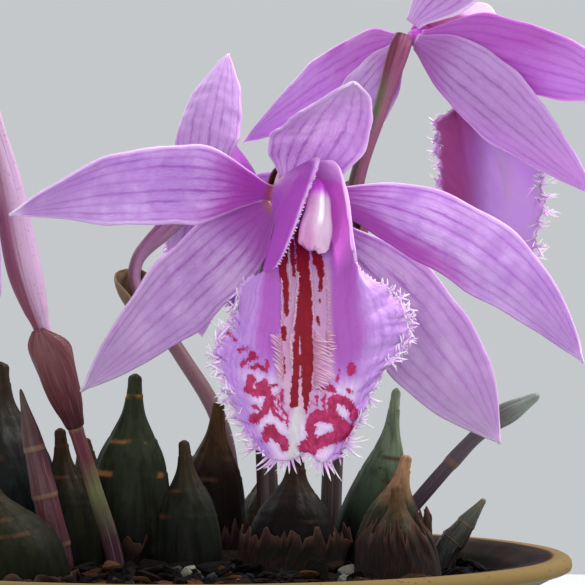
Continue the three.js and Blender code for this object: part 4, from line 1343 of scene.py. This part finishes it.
tepalSkin = {kind: tepalFinish(kind) for kind in tepalTones}
seed = 0
for name, bloom in blooms.items():
    for part, usual in usualTepals.items():
        seed += 1
        tepal = {**commonTepal, **usual, **tepals[name].get(part, {})}
        tepalPiece(name, bloom, part, tepal, seed * 1.37)
print("sepals and petals ready")


# The lip: seven lines run from its throat to its notched tip, told as right, forward and up
lipLines = {
    "left margin": [
        (-0.6, 3, 2.6), (-0.7, 8, 4.4), (-0.7, 13.4, 6), (-1, 17.8, 5.6), (-2.6, 18.2, -1),
        (-4.1, 18.4, -7.2), (-6, 18, -12.2), (-10, 15.6, -15.4), (-10.8, 15.8, -18.8),
        (-11.6, 17.8, -22.2), (-13.9, 19, -25.6), (-13.5, 20.6, -30), (-11.6, 22, -34.4),
        (-8.9, 22.8, -38.6), (-6, 23.6, -42.2),
    ],
    "left wall": [
        (-2.3, 2.8, 1.2), (-3.9, 7.4, 1.6), (-5, 12, 1.6), (-5.2, 15.4, -0.8), (-6, 16.6, -5),
        (-7.2, 17.5, -9.4), (-8, 18.5, -13.4), (-8.6, 19.1, -17), (-9, 19.9, -20.8),
        (-9.6, 20.7, -24.8), (-9.9, 21.2, -28.6), (-9.5, 22.2, -32.2), (-8, 23, -36), (-6, 23.6, -39.6),
        (-3.4, 24.3, -43),
    ],
    "left floor": [
        (-2.3, 2.5, -1), (-3.6, 6.8, -2.4), (-4.8, 10.8, -4.2), (-5, 13.4, -6.6), (-5.4, 15, -9.2),
        (-5.4, 16.4, -12.2), (-5.2, 17.8, -15.6), (-5, 18.8, -19.4), (-5.4, 20, -23),
        (-5.8, 21.2, -26.6), (-5.8, 22.2, -30), (-5.4, 23, -33.4), (-4.4, 23.8, -36.6),
        (-3, 24.2, -39.8), (-1, 24.6, -42.6),
    ],
    "keel": [
        (0, 2.4, -2.5), (0, 6.4, -4.4), (0, 10.2, -6.6), (0, 12.6, -8.8), (0, 14.4, -10.8),
        (0, 16.4, -13.4), (0, 18.2, -16.6), (0, 19.6, -20), (0, 20.8, -23.4), (0, 21.8, -26.8),
        (0, 22.7, -30.2), (0, 23.4, -33.6), (0, 24, -36.8), (0.6, 24.4, -39.4), (1.6, 24.6, -41),
    ],
    "right floor": [
        (2.3, 2.5, -1), (3.6, 6.8, -2.4), (4.8, 10.8, -4.2), (5.2, 13.6, -6.6), (5.2, 15.2, -9),
        (5.1, 16.8, -12), (5.1, 18.2, -15.4), (5.4, 19.4, -19), (5.8, 20.4, -22.6), (6.2, 21.4, -26.2),
        (6.2, 22.4, -29.8), (5.6, 23.2, -33.4), (4.8, 23.8, -36.6), (4, 24.2, -39.8),
        (3.4, 24.5, -42.2),
    ],
    "right wall": [
        (2.3, 2.8, 1.2), (3.9, 7.4, 1.6), (5.2, 12, 1.6), (5.6, 16, -0.5), (6, 17.4, -4),
        (6.6, 19.2, -8.6), (7.4, 20.4, -12.8), (8.9, 21.1, -16.4), (10.2, 21.6, -20),
        (10.6, 21.8, -24.2), (9.8, 22.3, -28.4), (8.8, 22.8, -31.8), (7.6, 23.4, -35.8),
        (6.4, 23.8, -39.4), (4.8, 24.3, -42.4),
    ],
    "right margin": [
        (0.6, 3, 2.6), (0.7, 8, 4.4), (0.9, 13.4, 6), (2, 18.4, 5.4), (4.2, 19.4, -0.6),
        (5.8, 19.7, -6.4), (8.2, 19.5, -11), (14.2, 18, -13.2), (18.2, 17.4, -17.4),
        (18.4, 18.2, -21.2), (15, 20, -25), (12.4, 21.4, -29.4), (10.6, 22.4, -33.8), (8.8, 23.2, -38),
        (6.6, 23.8, -41.4),
    ],
}

# near and far tell how finely a bloom's teeth and crests are made: the front bloom's, and the others'
lipForm = {
    "thick": 0.45,
    "ruffle": 0.45,
    "crowding": 0.72,
    "markSteps": 9,
    "sideSteps": 400,
    "tipSteps": 120,
    "fringeFrom": 3.2,
    "toothStep": 0.6,    # one tooth for so many millimetres of margin
    "toothRoot": 0.24,
    "shortest": 0.12,
    "fork": {"above": 1.6, "chance": 0.35, "long": 0.5, "wide": 0.7},
    # how long teeth are at each place along the left margin, the tip and the right margin
    "leftTeeth": [[3.2, 0.25], [5.6, 0.5], [7, 1.0], [8, 1.8], [9, 3.0], [11, 3.5], [14, 3.4]],
    "tipTeeth": [[-3, 3.2], [-1, 2.5], [0, 1.2], [1, 2.9], [3, 3.7]],
    "rightTeeth": [
        [3.2, 0.05], [5.2, 0.1], [6.2, 0.7], [7.4, 1.7], [9, 2.3], [10, 1.8], [11.5, 2.6], [14, 3.5],
    ],
    "near": {"tooth": (7, 6), "crest": 150},
    "far": {"tooth": (5, 4), "crest": 72},
    "rearmost": 84.4,    # the furthest teeth stay within the model's box
}

# Places on the lip: across from -3 at its left margin to 3 at its right, and along from 0 in the
# throat to 14 at the tip, one for each line and each point of lipLines.
lipSide, lipTip = 3, 14

# Each mark is a bent line and how wide it is, in millimetres; two widths are for its two ends.
blotchMarks = [
    ([(-2.99, 9.54), (-2.75, 9.51), (-2.57, 9.47)], 0.52),
    ([(-2.34, 9.65), (-2.01, 9.28)], 0.76),
    ([(-1.84, 9.34), (-1.60, 9.39), (-1.85, 9.64), (-2.10, 10.04)], 0.92),
    ([(-1.69, 9.92), (-1.41, 9.67), (-1.12, 9.80), (-1.11, 9.33)], 0.88),
    (
        [(-1.73, 10.45), (-1.84, 10.81), (-1.83, 11.03), (-1.07, 10.70), (-1.40, 10.61), (-1.19, 10.38)],
        1.51,
    ),
    ([(-0.91, 10.33), (-0.79, 10.28)], 0.56),
    ([(-1.06, 10.88), (-1.22, 11.35), (-1.47, 11.81), (-2.16, 12.27), (-1.97, 12.30)], 1.25),
    ([(-0.83, 10.80), (-0.99, 11.12), (-1.00, 11.60), (-0.74, 11.88)], 0.8),
    ([(-1.86, 12.99), (-1.36, 12.48), (-1.17, 12.78), (-0.89, 12.93), (-1.00, 13.30)], 1.56),
    ([(-0.61, 10.50), (-0.65, 11.10), (-0.59, 11.60)], 0.4),
    ([(-0.47, 11.50), (-0.55, 12.20)], 0.52),
    ([(-1.56, 11.76), (-1.80, 11.63)], 0.62),
    ([(1.42, 9.28), (1.43, 9.46)], 1.52),
    ([(0.95, 9.28), (0.90, 9.78)], 0.4),
    ([(0.30, 10.23), (0.59, 10.10), (0.81, 10.23), (0.69, 9.95)], 0.68),
    ([(0.89, 11.10), (0.90, 10.62), (1.43, 10.81), (2.25, 11.57), (2.42, 11.85)], 1.77),
    ([(0.35, 11.62), (0.57, 11.43), (1.13, 11.59), (2.69, 12.55)], 2.1),
    ([(2.69, 12.55), (1.93, 12.50), (1.13, 12.58), (0.45, 13.08), (-0.06, 13.45), (0.35, 13.66)], 2.04),
    ([(0.35, 11.62), (0.33, 12.20), (0.44, 12.75)], 1.68),
    ([(1.13, 11.59), (1.52, 12.06), (1.93, 12.50)], 1.8),
    ([(0.37, 10.50), (0.40, 11.35)], 0.44),
    ([(0.58, 10.45), (0.64, 11.30)], 0.44),
    ([(-0.84, 10.75), (-0.92, 11.62)], 0.28),
    ([(-0.73, 10.7), (-0.84, 11.85)], 0.26),
    ([(-0.62, 10.8), (-0.73, 11.9)], 0.28),
    ([(0.12, 10.95), (0.15, 11.4)], 0.28),
    ([(0.2, 10.5), (0.26, 11.2)], 0.28),
    ([(0.28, 10.5), (0.32, 11.3)], 0.24),
    ([(0.5, 10.43), (0.56, 10.95)], 0.32),
    ([(1.35, 10.23), (1.62, 10.39)], 0.4),
]
stripeMarks = [
    ([(0.02, 1.6), (0.0, 3.23), (-0.06, 4.2), (-0.05, 4.8)], (2.5, 2.35)),
    ([(-0.05, 4.8), (-0.04, 6.55), (0.0, 7.95), (0.06, 9.25)], (2.3, 2.15)),
    ([(0.06, 9.25), (0.06, 10.28), (0.08, 11.1)], (2.1, 0.8)),
    (
        [(-0.24, 6.0), (-0.29, 7.55), (-0.29, 8.25), (-0.25, 9.33), (-0.27, 10.35), (-0.27, 11.0)],
        (0.8, 1.45),
    ),
    ([(-0.62, 2.6), (-0.64, 4.1), (-0.73, 4.85), (-0.68, 5.38)], (1.7, 1.6)),
    ([(-0.68, 5.38), (-0.67, 5.9), (-0.66, 6.43), (-0.65, 7.0)], (1.6, 0.7)),
    ([(-0.7, 7.6), (-0.65, 8.08)], 0.85),
    ([(-0.6, 8.97), (-0.59, 9.65)], 0.6),
    ([(-0.36, 2.6), (-0.37, 3.65), (-0.35, 4.28), (-0.35, 4.95)], (1.3, 0.6)),
    ([(0.38, 2.4), (0.4, 3.2), (0.4, 4.12)], (1.9, 1.6)),
    ([(0.42, 4.12), (0.45, 4.38), (0.47, 5.03), (0.41, 5.6)], (1.6, 0.6)),
    ([(0.39, 6.1), (0.39, 6.18)], 0.45),
    ([(0.34, 6.9), (0.34, 7.23)], 0.6),
]
paleMarks = [
    ([(-0.17, 5.4), (-0.18, 6.8), (-0.14, 8.22), (-0.1, 9.3), (-0.08, 10.55), (-0.06, 11.15)], 0.12),
    ([(-0.14, 11.2), (-0.2, 11.9), (-0.4, 12.9), (-0.6, 13.8)], (1.3, 3.0)),
]

# Raised keels with comb-like edges: a bent line, how high, how long the comb's teeth are towards
# the left or, as a minus, the right, how far apart the teeth stand and how much they lean ahead.
crests = [
    ([(-0.47, 2.6), (-0.46, 3.9), (-0.5, 5.55), (-0.51, 6.7)], 0.5, 0.35, 0.6, 0),
    (
        [(-0.24, 4.4), (-0.3, 5.2), (-0.36, 6.2), (-0.44, 7.35), (-0.47, 8.25), (-0.4, 8.93), (-0.36, 9.75)],
        0.7, -0.5, 0.5, 0,
    ),
    ([(-0.78, 5.2), (-0.8, 6.3), (-0.78, 7.2), (-0.76, 7.8)], 0.5, 0.5, 0.6, 0),
    ([(-0.76, 7.9), (-0.72, 8.5), (-0.64, 9.15), (-0.59, 10.2)], 0.6, 2.7, 0.5, -0.75),
    ([(0.24, 7.4), (0.26, 8.38), (0.28, 9.33), (0.26, 10.3)], 0.3, -3.5, 0.42, 0.32),
    ([(0.19, 3.9), (0.2, 4.48), (0.21, 6.05), (0.24, 7.4)], 0.45, 0.45, 0.5, 0),
    ([(0.58, 4.4), (0.62, 5.4), (0.64, 6.6), (0.62, 7.6)], 0.4, -0.6, 0.6, 0),
    ([(0.6, 7.4), (0.62, 8.0), (0.6, 8.8)], 0.4, -1.6, 0.45, 0.1),
]
creamHeight = 0.7    # the keel of this height turns cream towards the tip
crestForm = {"rows": 5, "buried": 0.12, "least": 0.06, "shortest": 0.2, "droop": -0.1}

farOutside = -3.0    # the depth inside a mark where no mark is near
noMarks = {"blotch": farOutside, "stripe": farOutside, "pale": farOutside}


# the lip's surface at places u and v, in the bloom's own frame
def lipSurface(lines, u, v):
    u, v = np.broadcast_arrays(np.asarray(u, float), np.asarray(v, float))
    ribs = splineThrough(np.array(lines).transpose(1, 0, 2), v.ravel())
    rim = np.abs(u / lipSide)
    swell = smoothstep(v, 5, 8)
    scallop = (0.028 * np.sin(23 * v + 2 * np.sign(u)) + 0.02 * np.sin(41 * v + np.sign(u))) * swell
    at = (u * (1 + scallop * rim**8)).ravel() + lipSide
    k = np.clip(np.floor(at).astype(int), 0, ribs.shape[1] - 2)
    line = [2 * ribs[:, :1] - ribs[:, 1:2], ribs, 2 * ribs[:, -1:] - ribs[:, -2:-1]]
    line = np.concatenate(line, 1)
    each = np.arange(len(at))
    point = weighed([line[each, k + n] for n in range(4)], (at - k)[:, None])
    point = point.reshape(u.shape + (3,))
    # ruffles, from broad ones far in to narrow ones on the margin
    wave = lipForm["ruffle"] * rim**3 * swell * np.sin(3.4 * v + u)
    wave = wave + 0.36 * rim**4 * swell * np.sin(7.9 * v + 2.2 * u + 1)
    wave = wave + 0.22 * rim**7 * swell * np.sin(17.3 * v - 3 * u)
    wave = wave + 0.26 * rim**2 * swell * np.sin(2.3 * v * np.sign(u) + 4.1 * u)
    point[..., 1] += wave
    point[..., 2] += 0.3 * rim**5 * swell * np.sin(11.3 * v + 4 * u)
    return point


# how deep inside the nearest mark each point lies, in millimetres, or how far outside as a minus
def markDepth(points, lines, marks, flip):
    depth = np.full(points.shape[:-1], farOutside)
    for bent, wide in marks:
        bent = np.array(bent)
        steps = max(int(lipForm["markSteps"] * np.abs(np.diff(bent, axis=0)).sum()), 3)
        fine = splineThrough(bent, np.linspace(0, len(bent) - 1, steps))
        centres = lipSurface(lines, fine[:, 0] * flip, fine[:, 1])
        widths = np.linspace(*(wide if isinstance(wide, tuple) else (wide, wide)), steps - 1)
        for a, b, width in zip(centres[:-1], centres[1:], widths):
            step = b - a
            t = np.clip(((points - a) @ step) / max(step @ step, 1e-9), 0, 1)
            away = np.linalg.norm(points - a - t[..., None] * step, axis=-1)
            np.maximum(depth, width / 2 - away, out=depth)
    return depth


# one tooth: a flattened, curving spike; fine holds its rings and sides
def toothShape(root, away, across, long, wide, curl, droop, fine, **look):
    rings, sides = fine
    at, turn = evens(rings), turnsOf(sides)
    normal = unit(np.cross(away, across))
    path = root + away * long * (at - 0.12) + across * curl * long * at**2 + normal * droop * long * at**2
    thin = wide * (1 - at) ** 0.7 + 0.045
    around = path[:, None] + across * (thin * np.cos(turn))[..., None]
    around = around + normal * (0.6 * thin * np.sin(turn))[..., None]
    return ringShape(around, tip=at, inner=1.0, **look, **noMarks)


# the lip's margin from its left side over the tip to the right, and the places on the way
def marginWalk(lines):
    up = np.linspace(lipForm["fringeFrom"], lipTip, lipForm["sideSteps"])
    over = np.linspace(-lipSide, lipSide, lipForm["tipSteps"])[1:]
    down = up[::-1][1:]
    u = np.concatenate([0 * up - lipSide, over, 0 * down + lipSide])
    v = np.concatenate([up, 0 * over + lipTip, down])
    atSide, atTip = np.abs(u) > lipSide - 0.01, v > lipTip - 0.01
    within = lipSurface(lines, u * np.where(atSide, 0.93, 1), v - np.where(atTip, 0.3, 0))
    return u, v, atTip, lipSurface(lines, u, v), within


def toothLength(u, v, atTip):
    if atTip:
        return float(along(lipForm["tipTeeth"], u))
    return float(along(lipForm["leftTeeth"] if u < 0 else lipForm["rightTeeth"], v))


# the teeth along both sides and across the tip
def fringeShapes(lines, random, fine):
    walkU, walkV, atTips, edge, within = marginWalk(lines)
    gone = lengthsOn(edge)
    step, fork = lipForm["toothStep"], lipForm["fork"]
    look = {"white": 0.3, "margin": 1.0}
    shapes = []
    for place in np.arange(0.2, gone[-1], step):
        place = place + random.uniform(-0.35, 0.35) * step
        k = int(np.clip(np.searchsorted(gone, place), 1, len(edge) - 2))
        u, v, atTip = walkU[k], walkV[k], atTips[k]
        long = toothLength(u, v, atTip) * random.uniform(0.6, 1.15)
        if long < lipForm["shortest"]:
            continue
        onward = unit(edge[k + 1] - edge[k - 1])
        towardsTip = onward if u < 0 or atTip else -onward
        away = edge[k] - within[k]
        away = unit(away - onward * away.dot(onward))
        lean = random.normal(0.1 * u, 0.1) if atTip else random.normal(0.3, 0.2) * smoothstep(v, 6, 10)
        heading = unit(away + towardsTip * lean + onward * random.normal(0, 0.1))
        wide = lipForm["toothRoot"] * random.uniform(0.75, 1.2) * min(1.0, 0.5 + 0.25 * long)
        curl, droop = random.normal(0, 0.2), random.normal(-0.03, 0.16)
        if not atTip:
            curl += 0.3 * np.sign(u) * smoothstep(v, 7, 10)
        shapes.append(toothShape(edge[k], heading, onward, long, wide, curl, droop, fine, **look))
        if long > fork["above"] and random.uniform() < fork["chance"]:
            aside = unit(heading + onward * random.choice([-1, 1]) * random.uniform(0.5, 1.0))
            root = edge[k] + heading * long * random.uniform(0.15, 0.4)
            long, wide = long * fork["long"], wide * fork["wide"]
            shapes.append(toothShape(root, aside, onward, long, wide, curl, droop, fine, **look))
    return shapes


# the jagged keels, and the teeth that lie sideways from them
def crestShapes(lines, flip, random, count, fine):
    look = {"keel": 1.0}
    shapes = []
    for bent, high, comb, apart, lean in crests:
        bent = np.array(bent) * [flip, 1]
        line = splineThrough(bent, np.linspace(0, len(bent) - 1, count))
        foot = lipSurface(lines, line[:, 0], line[:, 1])
        left = unit(lipSurface(lines, line[:, 0] - 0.05, line[:, 1]) - foot)
        ahead = unit(np.gradient(foot, axis=0))
        up = unit(np.cross(left, ahead))
        if up[:, 1].mean() > 0:
            up = -up
        end = np.minimum(np.linspace(0, 1, count), np.linspace(1, 0, count))
        teeth = random.uniform(0.15, 1, count // 4 + 2).repeat(4)[: count + 2]
        teeth = 0.25 * teeth[:-2] + 0.5 * teeth[1:-1] + 0.25 * teeth[2:]
        tall = high * smoothstep(end, 0, 0.15) * teeth + crestForm["least"]
        rise = evens(crestForm["rows"])
        sway = (0.12 * np.sin(np.linspace(0, 25, count)) + 0.25 * np.sign(comb) * flip * tall) * rise**2
        above = (tall + crestForm["buried"]) * rise - crestForm["buried"]
        strip = foot + up * above[..., None] + left * sway[..., None]
        cream = smoothstep(line[:, 1], 7.3, 8.2) * (high == creamHeight)
        shape = bladeShape(strip, 0.4 * high, tip=0.8 * rise, cream=cream, **look, **noMarks)
        shape["fields"]["inner"] = np.ones(len(shape["points"]))
        shapes.append(shape)
        gone = lengthsOn(foot)
        for place in np.arange(0.4, gone[-1] - 0.2, apart):
            place = place + random.uniform(-0.2, 0.2) * apart
            k = int(np.clip(np.searchsorted(gone, place), 1, count - 2))
            long = abs(comb) * random.uniform(0.55, 1.1) * float(smoothstep(end[k], 0.0, 0.16))
            if long < crestForm["shortest"]:
                continue
            root = foot[k] + up[k] * (0.15 + tall[k] * random.uniform(0.3, 0.9))
            aside = left[k] * np.sign(comb) * flip
            heading = unit(aside + up[k] * random.uniform(0.05, 0.3) + ahead[k] * random.normal(lean, 0.14))
            wide, curl, droop = 0.13 + 0.02 * long, random.normal(0.05, 0.12), crestForm["droop"]
            shapes.append(toothShape(root, heading, ahead[k], long, wide, curl, droop, fine, **look))
    return shapes


# what each place on the blade is like, by the names that the lip's finish reads
def lipFields(u, v, flip):
    far = np.abs(u)
    fold = along([[0, 3.6], [4.5, 3.3], [6, 2.1], [8, 1.9], [10, 1.7], [14, 1.5]], v)
    return {
        # the walls deep in the throat get a bright magenta: partly the throat's own colour, partly a painted
        # glow in place of light let through the hood
        "depth": (1 - smoothstep(v, 2.5, 6.5)) * smoothstep(far, 0.7, 1.1),
        # the throat walls inside the fold: a deeper purple, partly their own colour and partly painted shade
        # where they turn from the light
        "throat": between(far, 0.55, 0.95, fold - 0.5, fold + 0.35) * (1 - smoothstep(v, 8.4, 10.2)),
        "white": smoothstep(v, 8.6, 10.8) * (1 - smoothstep(far, 1.5, 2.7)),
        "floor": (1 - smoothstep(far, 0.6, 0.95)) * between(v, 3, 5, 11, 12.5),
        "margin": np.maximum(smoothstep(far, 2.78, 2.97) * smoothstep(v, 1.5, 2.5), smoothstep(v, 13.7, 14)),
        # a pale band on the right margin of the hood only: partly the margin's own pale colour, partly a
        # painted highlight where that edge catches the light
        "rim": smoothstep(u * flip, 2.3, 2.5) * between(v, 1.0, 2.0, 6.0, 7),
        # the back of the lip near the throat: a darker magenta, partly its own colour and partly painted
        # shade
        "hood": 1 - smoothstep(v, 5.2, 7.2),
    }


def lipPiece(name, bloom, seed):
    random = np.random.default_rng(seed)
    flip = -1 if bloom["mirrored"] else 1
    lines = [[(flip * right, -ahead, up) for right, ahead, up in line] for line in lipLines.values()]
    if bloom["mirrored"]:
        lines.reverse()
    rows, columns = bloom["lip"]
    u, v = lipSide * crowded(columns, lipForm["crowding"]), lipTip * evens(rows)
    grid = lipSurface(lines, u, v)
    marks = {"blotch": blotchMarks, "stripe": stripeMarks, "pale": paleMarks}
    marks = {key: markDepth(grid, lines, value, flip) for key, value in marks.items()}
    places = spread(2.2 * u, 1.3 * v, 0)
    bumps = 0.14 * lumps(places, 0.55, seed) + 0.07 * lumps(places, 0.22, seed + 1)
    ridges = 0.05 * np.cos(2 * np.pi * 3.3 * u + 0.6 * np.sin(v)) * smoothstep(v, 6, 8)
    relief = bumps * smoothstep(v, 1, 3) + ridges
    shapes = [bladeShape(grid, lipForm["thick"], relief, -0.5 * relief, **lipFields(u, v, flip), **marks)]
    form = lipForm["near"] if name == "front" else lipForm["far"]
    shapes += fringeShapes(lines, random, form["tooth"])
    shapes += crestShapes(lines, flip, random, form["crest"], form["tooth"])
    whole = joined(shapes)
    points = intoPlace(bloom, whole["points"] * bloom["size"])
    points[:, 1] = np.minimum(points[:, 1], lipForm["rearmost"])
    whole["points"] = points
    # painted shade and painted light on this lip's back: dark red on its left, bright lilac on its right,
    # set by where each point stands
    wine, clear = np.zeros(len(points)), np.zeros(len(points))
    if "wine" in bloom:
        clear = smoothstep(points[:, 0], *bloom["wine"])
        wine = 1 - clear
    whole["fields"].update(wine=wine, clear=clear)
    put(f"{name}_lip_blade", whole, lipSkin, f"{name}_lip")


lipTones = {
    # throat is partly the walls' own purple and partly painted shade
    "lilac": (188, 144, 212), "veins": (158, 94, 188), "white": (228, 210, 232), "throat": (172, 86, 182),
    # deep is partly the throat's own magenta and partly a painted glow
    "deep": (250, 140, 252), "floor": (198, 152, 182), "blotch": (156, 6, 66), "stripe": (132, 0, 26),
    # tip is partly the fringe's own pale colour and partly a painted glow of light through the thin teeth
    "blush": (196, 52, 118), "tip": (255, 240, 255), "pale": (206, 202, 206), "back": (172, 108, 200),
    # clear is painted light, and the dark red after it is painted shade, for the back of a lip that stands
    # half in light
    # hood is a darker magenta: partly the back's own colour, partly painted shade
    "hood": (158, 60, 168), "clear": (228, 186, 246), "wine": (168, 66, 118), "edge": (232, 184, 246),
    # keelTop is partly the crests' own pale colour and partly a painted highlight on their tops
    "keelFoot": (194, 128, 164), "keelTop": (224, 180, 206), "cream": (252, 206, 190),
}


def lipFinish():
    beginFinish(
        "lip skin", lipTones, Sheen_Weight=0.04, Sheen_Roughness=0.4, Specular_IOR_Level=0.14,
        Subsurface_Weight=0.7, Subsurface_Scale=0.0005, Subsurface_Radius=(1.0, 0.6, 1.0),
    )
    place, space = onSurface(), inSpace()
    cloud = spots(space, 150.0, 4.0, 0.6)
    fine = spots(space, 900.0, 4.0, 0.6)
    across = swayed(acrossAndUp()[0], spots(space, 260.0, 3.0), 0.045)
    net = cells(stretched(place, (38, 30, 1)), 1.0, "DISTANCE_TO_EDGE")
    vein = plus(ease(rays(across, 26), 0.0, 1.0, 0, 0.6), ease(net, 0.14, 0.0, 0, 0.4))
    vein = times(vein, ease(cloud, 0.32, 0.62, 0.25, 0.9))
    margin = times(told("margin"), ease(fine, 0.3, 0.6, 0.4, 0.85))
    skin = coated(
        blendTones(times(vein, 0.5), "lilac", "veins"),
        ("white", swayed(told("white"), cloud, 0.9), 0.25, 1.0, 0.85),
        # the throat walls: partly their own purple, partly painted shade inside the fold
        ("throat", swayed(told("throat"), cloud, 0.3), 0.0, 0.9, 0.85),
        ("floor", told("floor"), 0.0, 1.0, 0.75),
        # painted glow deep in the throat, with its own magenta, in place of light let through the hood
        ("deep", told("depth"), 0.2, 0.8, 0.95),
    )
    # marks follow the skin's long cells, so their edges step from cell to cell
    tiles = cells(stretched(place, (62, 66, 1)), 1.0, output="Color")
    frayed = swayed(swing(tiles, 0.5), spots(space, 2100.0, 3.0, 0.6), 0.7)
    frayed = swayed(frayed, fine, 0.5)
    blotch = plus(told("blotch"), frayed)
    stripe = plus(told("stripe"), times(frayed, 0.75))
    tips = times(told("tip"), ease(fine, 0.3, 0.7, 0.7, 1.0))
    skin = coated(
        blendTones(margin, skin, "edge"),
        ("pale", plus(told("pale"), frayed), -0.15, 0.25, 0.85),
        ("veins", blotch, -0.6, 0.0, 0.35),
        (coated("blotch", ("blush", fine, 0.36, 0.66, 0.75)), blotch, -0.04, 0.12, 0.96),
        ("stripe", stripe, -0.05, 0.1, 0.98),
        # lighter tooth tips: partly their own colour, partly painted glow
        ("tip", tips, 0.12, 0.8, 0.9),
    )
    # keel crests lighter towards their tops: partly their own colour, partly a painted highlight
    crest = coated("keelFoot", ("keelTop", told("tip"), 0.0, 0.8, 1.0))
    crest = blendTones(times(told("cream"), 0.85), crest, "cream")
    skin = blendTones(told("keel"), skin, crest)
    drift = swing(cloud, 0.7)
    clear, wine = (plus(told(key), times(drift, told(key))) for key in ("clear", "wine"))
    behind = coated(
        blendTones(times(vein, 0.6), "back", "veins"),
        # darker magenta near the throat, partly painted shade
        ("hood", told("hood"), 0.1, 0.9, 0.85),
        # painted light, then painted shade: bright lilac and dark red across the back of a lip that stands
        # half in light
        ("clear", clear, 0.25, 1.0, 0.85),
        ("wine", wine, 0.25, 0.95, 0.75),
    )
    behind = blendTones(margin, behind, "edge")
    skin = blendTones(told("inner"), behind, skin)
    # painted highlight, with the margin's own paleness, on the hood's right edge
    skin = coated(skin, ("edge", told("rim"), 0.1, 0.8, 0.85))
    height = plus(times(cells(space, 3000.0), 0.4), fine)
    return endFinish(skin, ease(cloud, 0.3, 0.7, 0.46, 0.62), height, 0.00015, 0.5)


lipSkin = lipFinish()
for seed, (name, bloom) in enumerate(blooms.items()):
    lipPiece(name, bloom, seed + 5)
print("lips ready")


# The column: it arches over the lip's floor and ends in a broad hooded tip with its anther cap

# near and far are the rings and sides of the front bloom's column, and of the others'
column = {
    "path": [
        [0, 1.2, -0.4], [0.1, 5, 0.9], [0.2, 9.5, 1.9], [0.3, 13, 1.9], [0.35, 15.8, 0.2],
        [0.3, 17.2, -3.4], [0.15, 17.4, -8.7],
    ],
    "halfWidth": [[0, 1.5], [0.35, 1.5], [0.6, 1.7], [0.8, 2.4], [1, 2.9]],
    "halfDepth": [[0, 1.3], [0.5, 1.3], [0.8, 1.2], [1, 0.7]],
    "near": (84, 48),
    "far": (56, 36),
    "cap": (1.3, 0.8, 1.1),
    "capPlace": 0.9,
    "white": (226, 190, 222),
    "pink": (184, 96, 172),
    "streak": (196, 130, 200),
    "roof": (214, 84, 224),
    "cream": (222, 186, 208),
    # a painted highlight for the ridge of the column's arch
    "paintedHighlight": (255, 250, 255),
}


def columnPiece(name, bloom, seed):
    flip = -1 if bloom["mirrored"] else 1
    path = [(flip * right, -ahead, up) for right, ahead, up in column["path"]]
    count, sides = column["near"] if name == "front" else column["far"]
    centres, side, other = framesOn(path, count)
    ahead = np.cross(side, other)
    at, turn = evens(count), turnsOf(sides)
    across, towards = np.cos(turn), np.sin(turn)
    rounded = roundedEnd(at, 0.975, 0.028, 0.04)
    x = along(column["halfWidth"], at) * rounded * across
    x = x * (1 + 0.05 * smoothstep(at, 0.5, 0.8) * np.sin(30 * at + seed))
    # the outer side has a raised ridge; the inner one is hollowed below the hood, with a ridge too
    onRidge = peak(across * flip - 0.12, 0.2) * (towards > 0)
    y = along(column["halfDepth"], at) * rounded * towards
    y = y - 0.3 * peak(across, 0.22) * (towards < 0) * smoothstep(at, 0.2, 0.5)
    y = y - 0.6 * peak(across, 0.5) * (towards > 0) * between(at, 0.62, 0.72, 0.86, 0.94)
    y = y + 0.55 * onRidge * between(at, 0.5, 0.62, 0.8, 0.95)
    torn = 0.3 * np.sin(5 * across + seed) + 0.22 * np.sin(13 * across + 2 * seed)
    notch = (0.25 * peak(across, 0.3) + torn) * smoothstep(at, 0.93, 1)
    rings = centres[:, None] - ahead[:, None] * notch[..., None]
    rings = rings + side[:, None] * x[..., None] + other[:, None] * y[..., None]
    flush = 0.8 * smoothstep(-across * flip, -0.2, 0.8) + 0.4 * smoothstep(at, 0.8, 1.0)
    fields = {
        # ridge marks where the column carries a painted highlight
        "ridge": onRidge * between(at, 0.52, 0.62, 0.8, 0.92),
        "flush": np.clip(flush, 0, 1),
        "roof": 1 - smoothstep(at, 0.64, 0.72),
    }
    # the cap on the side that faces the throat
    k = int(count * column["capPlace"])
    ball, faces = roundBall()
    ball = ball * column["cap"]
    cap = centres[k] - other[k] * 0.6 + ball @ np.array([side[k], other[k], ahead[k]])
    whole = joined([ringShape(rings, **fields), shapeOf(cap, faces, cap=1.0)])
    whole["points"] = intoPlace(bloom, whole["points"] * bloom["size"])
    put(f"{name}_column_body", whole, columnSkin, f"{name}_column")


def columnFinish():
    beginFinish(
        "column skin", column, Subsurface_Weight=0.25, Subsurface_Scale=0.0012,
        Specular_IOR_Level=0.5,
    )
    space = inSpace()
    cloud = spots(space, 260.0, 4.0)
    fine = streaked((40, 12, 1), 4.0)
    skin = coated(
        "white",
        ("pink", swayed(told("flush"), cloud, 0.6), 0.2, 0.95, 0.75),
        ("streak", fine, 0.55, 0.75, 0.3),
        # painted highlight along the ridge
        ("paintedHighlight", told("ridge"), 0.15, 0.7, 0.95),
    )
    skin = blendTones(told("roof"), skin, "roof")
    skin = blendTones(told("cap"), skin, "cream")
    height = plus(fine, cells(space, 2600.0))
    return endFinish(skin, ease(cloud, 0.3, 0.7, 0.3, 0.45), height, 0.0001, 0.5)


columnSkin = columnFinish()
for seed, (name, bloom) in enumerate(blooms.items()):
    columnPiece(name, bloom, seed)
print("columns ready")
